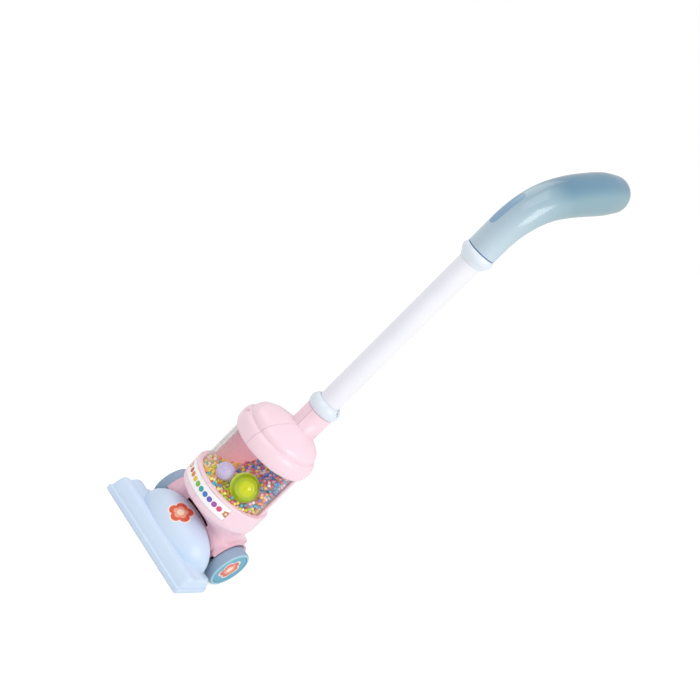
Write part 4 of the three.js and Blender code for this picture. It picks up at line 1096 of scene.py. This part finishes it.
def lens(name, at, toward, radius):
    """A dome with raised rings and a nub on its crown, hollow from behind."""
    crown, bore = radius * LENS_CROWN, radius - LENS_WALL

    def rise(share):
        return crown * math.sqrt(1 - share * share)

    outer = [(radius * share, rise(share) + lift) for share, lift in LENS_RINGS]
    nub = [(reach, crown + lift) for reach, lift in LENS_NUB]
    inner = [(bore * share, rise(share) * LENS_HOLLOW) for share in (0, 0.6, 0.9)]
    skirt = [(bore, -LENS_SKIRT), (radius, -LENS_SKIRT)]
    return turned(name, [*skirt, *outer, *nub, *inner, (bore, 0.8), skirt[0]], at, toward, sides=64)


# %% Lens plastics
lens_green = moulded("green_lens", "#B2C800", 0.07, deep="#8CA800")
lens_lilac = moulded("lilac_lens", "#CFC6E4", 0.1, deep="#BDB2D8")
for made, glow, colour in ((lens_green, 0.3, "#B0B400"), (lens_lilac, 0.1, "#DCD2F0")):
    skin = skin_of(made)
    tune(skin, coat_weight=0.25, coat_roughness=0.04, emission_color=colour, emission_strength=glow)

# %% Lenses in their places
_, floor_high = box_mm("canister_floor")
green = (Vector((19.2, glass_y - 17.8, floor_high.z + 37.2)), facing(40, 24), 14.8)
lilac = (Vector((-5, glass_y - 24.4, floor_high.z + 33.5)), facing(2, 34), 9.5)
dress(lens("lamp_lens_green", *green), lens_green, "green_lens", "lens_green")
dress(lens("lamp_lens_lilac", *lilac), lens_lilac, "lilac_lens", "lens_lilac")

# %% [markdown]
# The green lens is pale at its rim, olive round its middle and yellow at its crown, by the height of
# a point along the lens's own axis.

# %% Shades of the green lens
GREEN_STOPS = [(0.0, "#C8DE28"), (0.24, "#A2C010"), (0.5, "#7E9A00"), (0.8, "#9CAE00"), (1.0, "#C0C60A")]


def lens_shades(made, at, toward, radius):
    """Colours from rim to crown, in the base colour and in the glow."""
    skin, _, place = paint_over(made)
    share = calc("DIVIDE", along(place, toward, at), radius * LENS_CROWN)
    shade = colour_ramp(share, GREEN_STOPS)
    tune(skin, base_color=shade, emission_color=shade)


lens_shades(lens_green, *green)

# %% [markdown]
# ## Foam beads
# Some twelve hundred foam beads lie in a slope against the back. One bead is a small ico sphere, and
# its mesh is repeated at places that a seeded draw finds, near the surface of the heap only, over a
# core that fills the middle. Each bead carries its colour in an attribute, with more yellows and
# greens low in the heap and more blues and pinks high in it.

# %% The heap's surface
PILE_LOW = 86.7
PILE_RISE = glass_high.z - PILE_LOW - 6
SLOPE_X, SLOPE_Y, SLOPE_START, SLOPE_LENGTH = 0.77, 0.64, 12, 48
LUMP = 0.7


def heap_height(x, y):
    """The heap rises from the toy's front left to its back right, with low lumps on it."""
    share = clamp((x * SLOPE_X + y * SLOPE_Y + SLOPE_START) / SLOPE_LENGTH)
    lump = LUMP * math.sin(x * 0.55) * math.cos(y * 0.47 + 1)
    return PILE_LOW + PILE_RISE * share * share * (3 - 2 * share) + lump


# %% Places for the beads
BEAD = 1.7
BEAD_REACH = glass_inner - BEAD - 0.2
BEAD_SINK = BEAD * 0.4
SPACING = BEAD * 1.8
DEEPEST = 7
AT_THE_GLASS = 0.55
GLASS_FOOT, LOWEST = 76, 74
CLEAR_BEHIND, CLEAR_BESIDE = 4, 1.2


def in_lens(point, at, toward, radius):
    """Whether a bead would stand in a lens or right before it."""
    ahead = (point - at).dot(toward)
    beside = (point - at - toward * ahead).length
    return ahead > -CLEAR_BEHIND and beside < radius + CLEAR_BESIDE


def bead_places(tries, seed):
    """Random places near the heap's surface or against the glass, each clear of the others."""
    draw = random.Random(seed)
    taken, grid = [], {}
    for _ in range(tries):
        x, y = draw.uniform(-BEAD_REACH, BEAD_REACH), draw.uniform(-BEAD_REACH, BEAD_REACH)
        side = math.hypot(x, y)
        depth = draw.random() ** 1.5 * DEEPEST
        if side > BEAD_REACH:
            continue
        if draw.random() < AT_THE_GLASS:
            x, y = x * BEAD_REACH / max(side, 1), y * BEAD_REACH / max(side, 1)
            z = draw.uniform(GLASS_FOOT, heap_height(x, y) - BEAD_SINK)
        else:
            z = heap_height(x, y) - BEAD_SINK - depth
        point = Vector((x, glass_y + y, z))
        if z < LOWEST or in_lens(point, *green) or in_lens(point, *lilac):
            continue
        key = tuple(int(part // SPACING) for part in point)
        near = [p for i in (-1, 0, 1) for j in (-1, 0, 1) for k in (-1, 0, 1)
                for p in grid.get((key[0] + i, key[1] + j, key[2] + k), ())]
        if all((p - point).length > SPACING for p in near):
            grid.setdefault(key, []).append(point)
            taken.append(point)
    return taken


# %% Beads in one mesh, with their colours
LOW_BEADS = [
    "#F8DC3C", "#F6EC86", "#FBE864", "#B9D93C", "#45BCD2", "#F2A272", "#EE7F86", "#FBF6D4", "#F6B9CE"]
HIGH_BEADS = [
    "#4C8AD0", "#7AA6DC", "#E8789A", "#D86A66", "#857AC4", "#F0B6CC", "#58AEBE", "#E6C450", "#EEE6EE"]
MIX_FROM, MIX_OVER, MIX_SPREAD, MIX_AT = 88, 26, 0.45, 0.4
TRIES, PLACE_SEED, COLOUR_SEED = 90000, 7, 11

nothing_selected()
bpy.ops.mesh.primitive_ico_sphere_add(subdivisions=2, radius=BEAD * MM, location=(0, 0, 0))
one_bead = bpy.context.object
bead_corners = [v.co.copy() for v in one_bead.data.vertices]
bead_faces = [tuple(f.vertices) for f in one_bead.data.polygons]
bpy.data.objects.remove(one_bead)
places = bead_places(TRIES, PLACE_SEED)
chooser = random.Random(COLOUR_SEED)
corners, faces, shades = [], [], []
for place in places:
    start = len(corners)
    size = chooser.uniform(0.88, 1.05)
    corners.extend(place * MM + corner * size for corner in bead_corners)
    faces.extend(tuple(start + i for i in face) for face in bead_faces)
    highness = (place.z - MIX_FROM) / MIX_OVER + chooser.uniform(-MIX_SPREAD, MIX_SPREAD)
    palette = HIGH_BEADS if highness > MIX_AT else LOW_BEADS
    shades.extend([srgb(chooser.choice(palette))] * len(bead_corners))
bead_mesh = bpy.data.meshes.new("foam_beads")
bead_mesh.from_pydata(corners, [], faces)
tone = bead_mesh.color_attributes.new("bead_colour", "FLOAT_COLOR", "POINT")
for i, shade in enumerate(shades):
    tone.data[i].color = shade
beads = put_in(bpy.data.objects.new("foam_beads", bead_mesh))
bpy.ops.object.shade_smooth()
print("beads:", len(places))

# %% Foam
foam = moulded("foam", "#F0F0F0", 0.62, ripple=0.05)
bead_tone = add_node(skin_of(foam), "Attribute")
bead_tone.attribute_name = "bead_colour"
bead_shade = bead_tone.outputs["Color"]
# The beads glow a little in their own colour: a painted glow for the light that foam lets through
tune(skin_of(foam), base_color=bead_shade, emission_color=bead_shade, emission_strength=0.1)
dress(beads, foam, "foam_beads", "bead_pile")

# %% [markdown]
# The core is a smaller heap under the beads, so that no daylight shows between them. It has the mean
# colour of the mix, darkened as painted shade of the gaps between the beads.

# %% Core of the heap
CORE_RADIUS, CORE_SUNK, CORE_SIDES = 35.2, 3.6, 48

core_rings = []
for share in (0.2, 0.45, 0.65, 0.82, 0.94):
    ring = []
    for i in range(CORE_SIDES):
        angle = math.tau * i / CORE_SIDES
        x, y = CORE_RADIUS * share * math.cos(angle), CORE_RADIUS * share * math.sin(angle)
        ring.append(Vector((x, glass_y + y, heap_height(x, y) - CORE_SUNK)))
    core_rings.append(ring)
core_rings.append([Vector((p.x, p.y, floor_high.z + 0.6)) for p in core_rings[-1]])
core = bridged("bead_core", core_rings)
# Painted shade: the core's darker colour stands for the shaded gaps between the beads
bead_core_shade = moulded("bead_shadow", "#E0C0C4", 0.8, deep="#B9B4CC")
core.data.materials.append(bead_core_shade)
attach(core, "upright")

# %% [markdown]
# ## Label
# The band round the cup is a white sticker. Where the toy has lettering it gets a plain row of dots
# that runs through the rainbow, drawn on the angle round the cup.

# %% Label band
label_low, label_high = box_mm("label_band")
LABEL_INNER, LABEL_RADIUS = 44.75, 45.3
LABEL_HALF = 46.5
label_z = (label_low.z + label_high.z) / 2

label_section = rectangle(LABEL_INNER, LABEL_RADIUS, label_low.z, label_high.z)
band = draw_loop("label_sticker", [
    facing(-LABEL_HALF, 0) * radius + Vector((0, glass_y, z)) for radius, z in label_section])
sweep = math.radians(2 * LABEL_HALF)
bpy.ops.mesh.spin(steps=48, angle=sweep, center=(0, glass_y * MM, 0), axis=(0, 0, -1))
close_up()

# %% Dots and flowers on the label
RAINBOW = [
    "#C8503C", "#E8893A", "#E8C63C", "#7FBF4A", "#38A6A8", "#3F7FC8", "#6D5FC0", "#A855A8", "#DE4F7E"]
DOT_PITCH, DOT_RADIUS = 6.6, 2.9
LABEL_FLOWER, LABEL_HEART = 3.6, 1.3
FLOWER_AT = DOT_PITCH * 5.3


def rainbow_dots(made):
    """A dot for each colour, numbered from the middle, and a small flower at each end."""
    skin, under, place = paint_over(made)
    x, front = along(place, (1, 0, 0), CUP_AXIS), along(place, (0, -1, 0), CUP_AXIS)
    high = along(place, UP, (0, 0, label_z))
    round_cup = calc("MULTIPLY", calc("ARCTAN2", x, front), LABEL_RADIUS)
    number = calc("ROUND", calc("DIVIDE", round_cup, DOT_PITCH))
    u = calc("SUBTRACT", round_cup, calc("MULTIPLY", number, DOT_PITCH))
    wanted = calc("LESS_THAN", calc("ABSOLUTE", number), len(RAINBOW) / 2)
    dot = calc("MULTIPLY", spot(u, high, DOT_RADIUS), wanted)
    share = calc("MULTIPLY_ADD", number, 1 / len(RAINBOW), 0.5)
    stops = [(i / len(RAINBOW), colour) for i, colour in enumerate(RAINBOW)]
    shade = blend_colour(dot, under, colour_ramp(share, stops, steps="CONSTANT"))
    beside = calc("SUBTRACT", calc("ABSOLUTE", round_cup), FLOWER_AT)
    shade = blend_colour(flower(beside, high, LABEL_FLOWER), shade, "#C9825E")
    shade = blend_colour(spot(beside, high, LABEL_HEART), shade, "#F6E3B4")
    tune(skin, base_color=shade)


label_film = moulded("label_film", "#FFFDFE", 0.3)
rainbow_dots(label_film)
dress(band, label_film, "label_film", "label_band")

# %% [markdown]
# ## Pieces that keep their CAD shape
# Screws, the parts inside the body and the sole plate have the right shape already. They get a
# finish, and those that show are welded and shaded smooth.

# %% Finishes of the other CAD nodes
smooth_pieces = {
    "sole_plate": ("sole_cover", blue, "blue_plastic"),
    "canister_floor": ("perforated_floor", white, "white_plastic"),
    "lamp_stem": ("lamp_holder", white, "white_plastic"),
    "power_switch": ("switch_slider", dark, "dark_plastic"),
    "axle": ("wheel_shaft", steel, "steel"),
}
for node, (name, finish, slot) in smooth_pieces.items():
    dress(smooth_copy(node, name), finish, slot, node)

inside_finishes = {
    "led_green": lens_green, "led_lilac": lens_lilac, "motor": motor_can, "fan": white,
    "battery_box": white, "cell_low": cell_skin, "cell_high": cell_skin,
    "contact_right": brass, "contact_left": brass,
}
for node, piece in frame["nodes"].items():
    if piece.hide_render:
        continue
    piece.data.materials.clear()
    piece.data.materials.append(inside_finishes.get(node, steel))
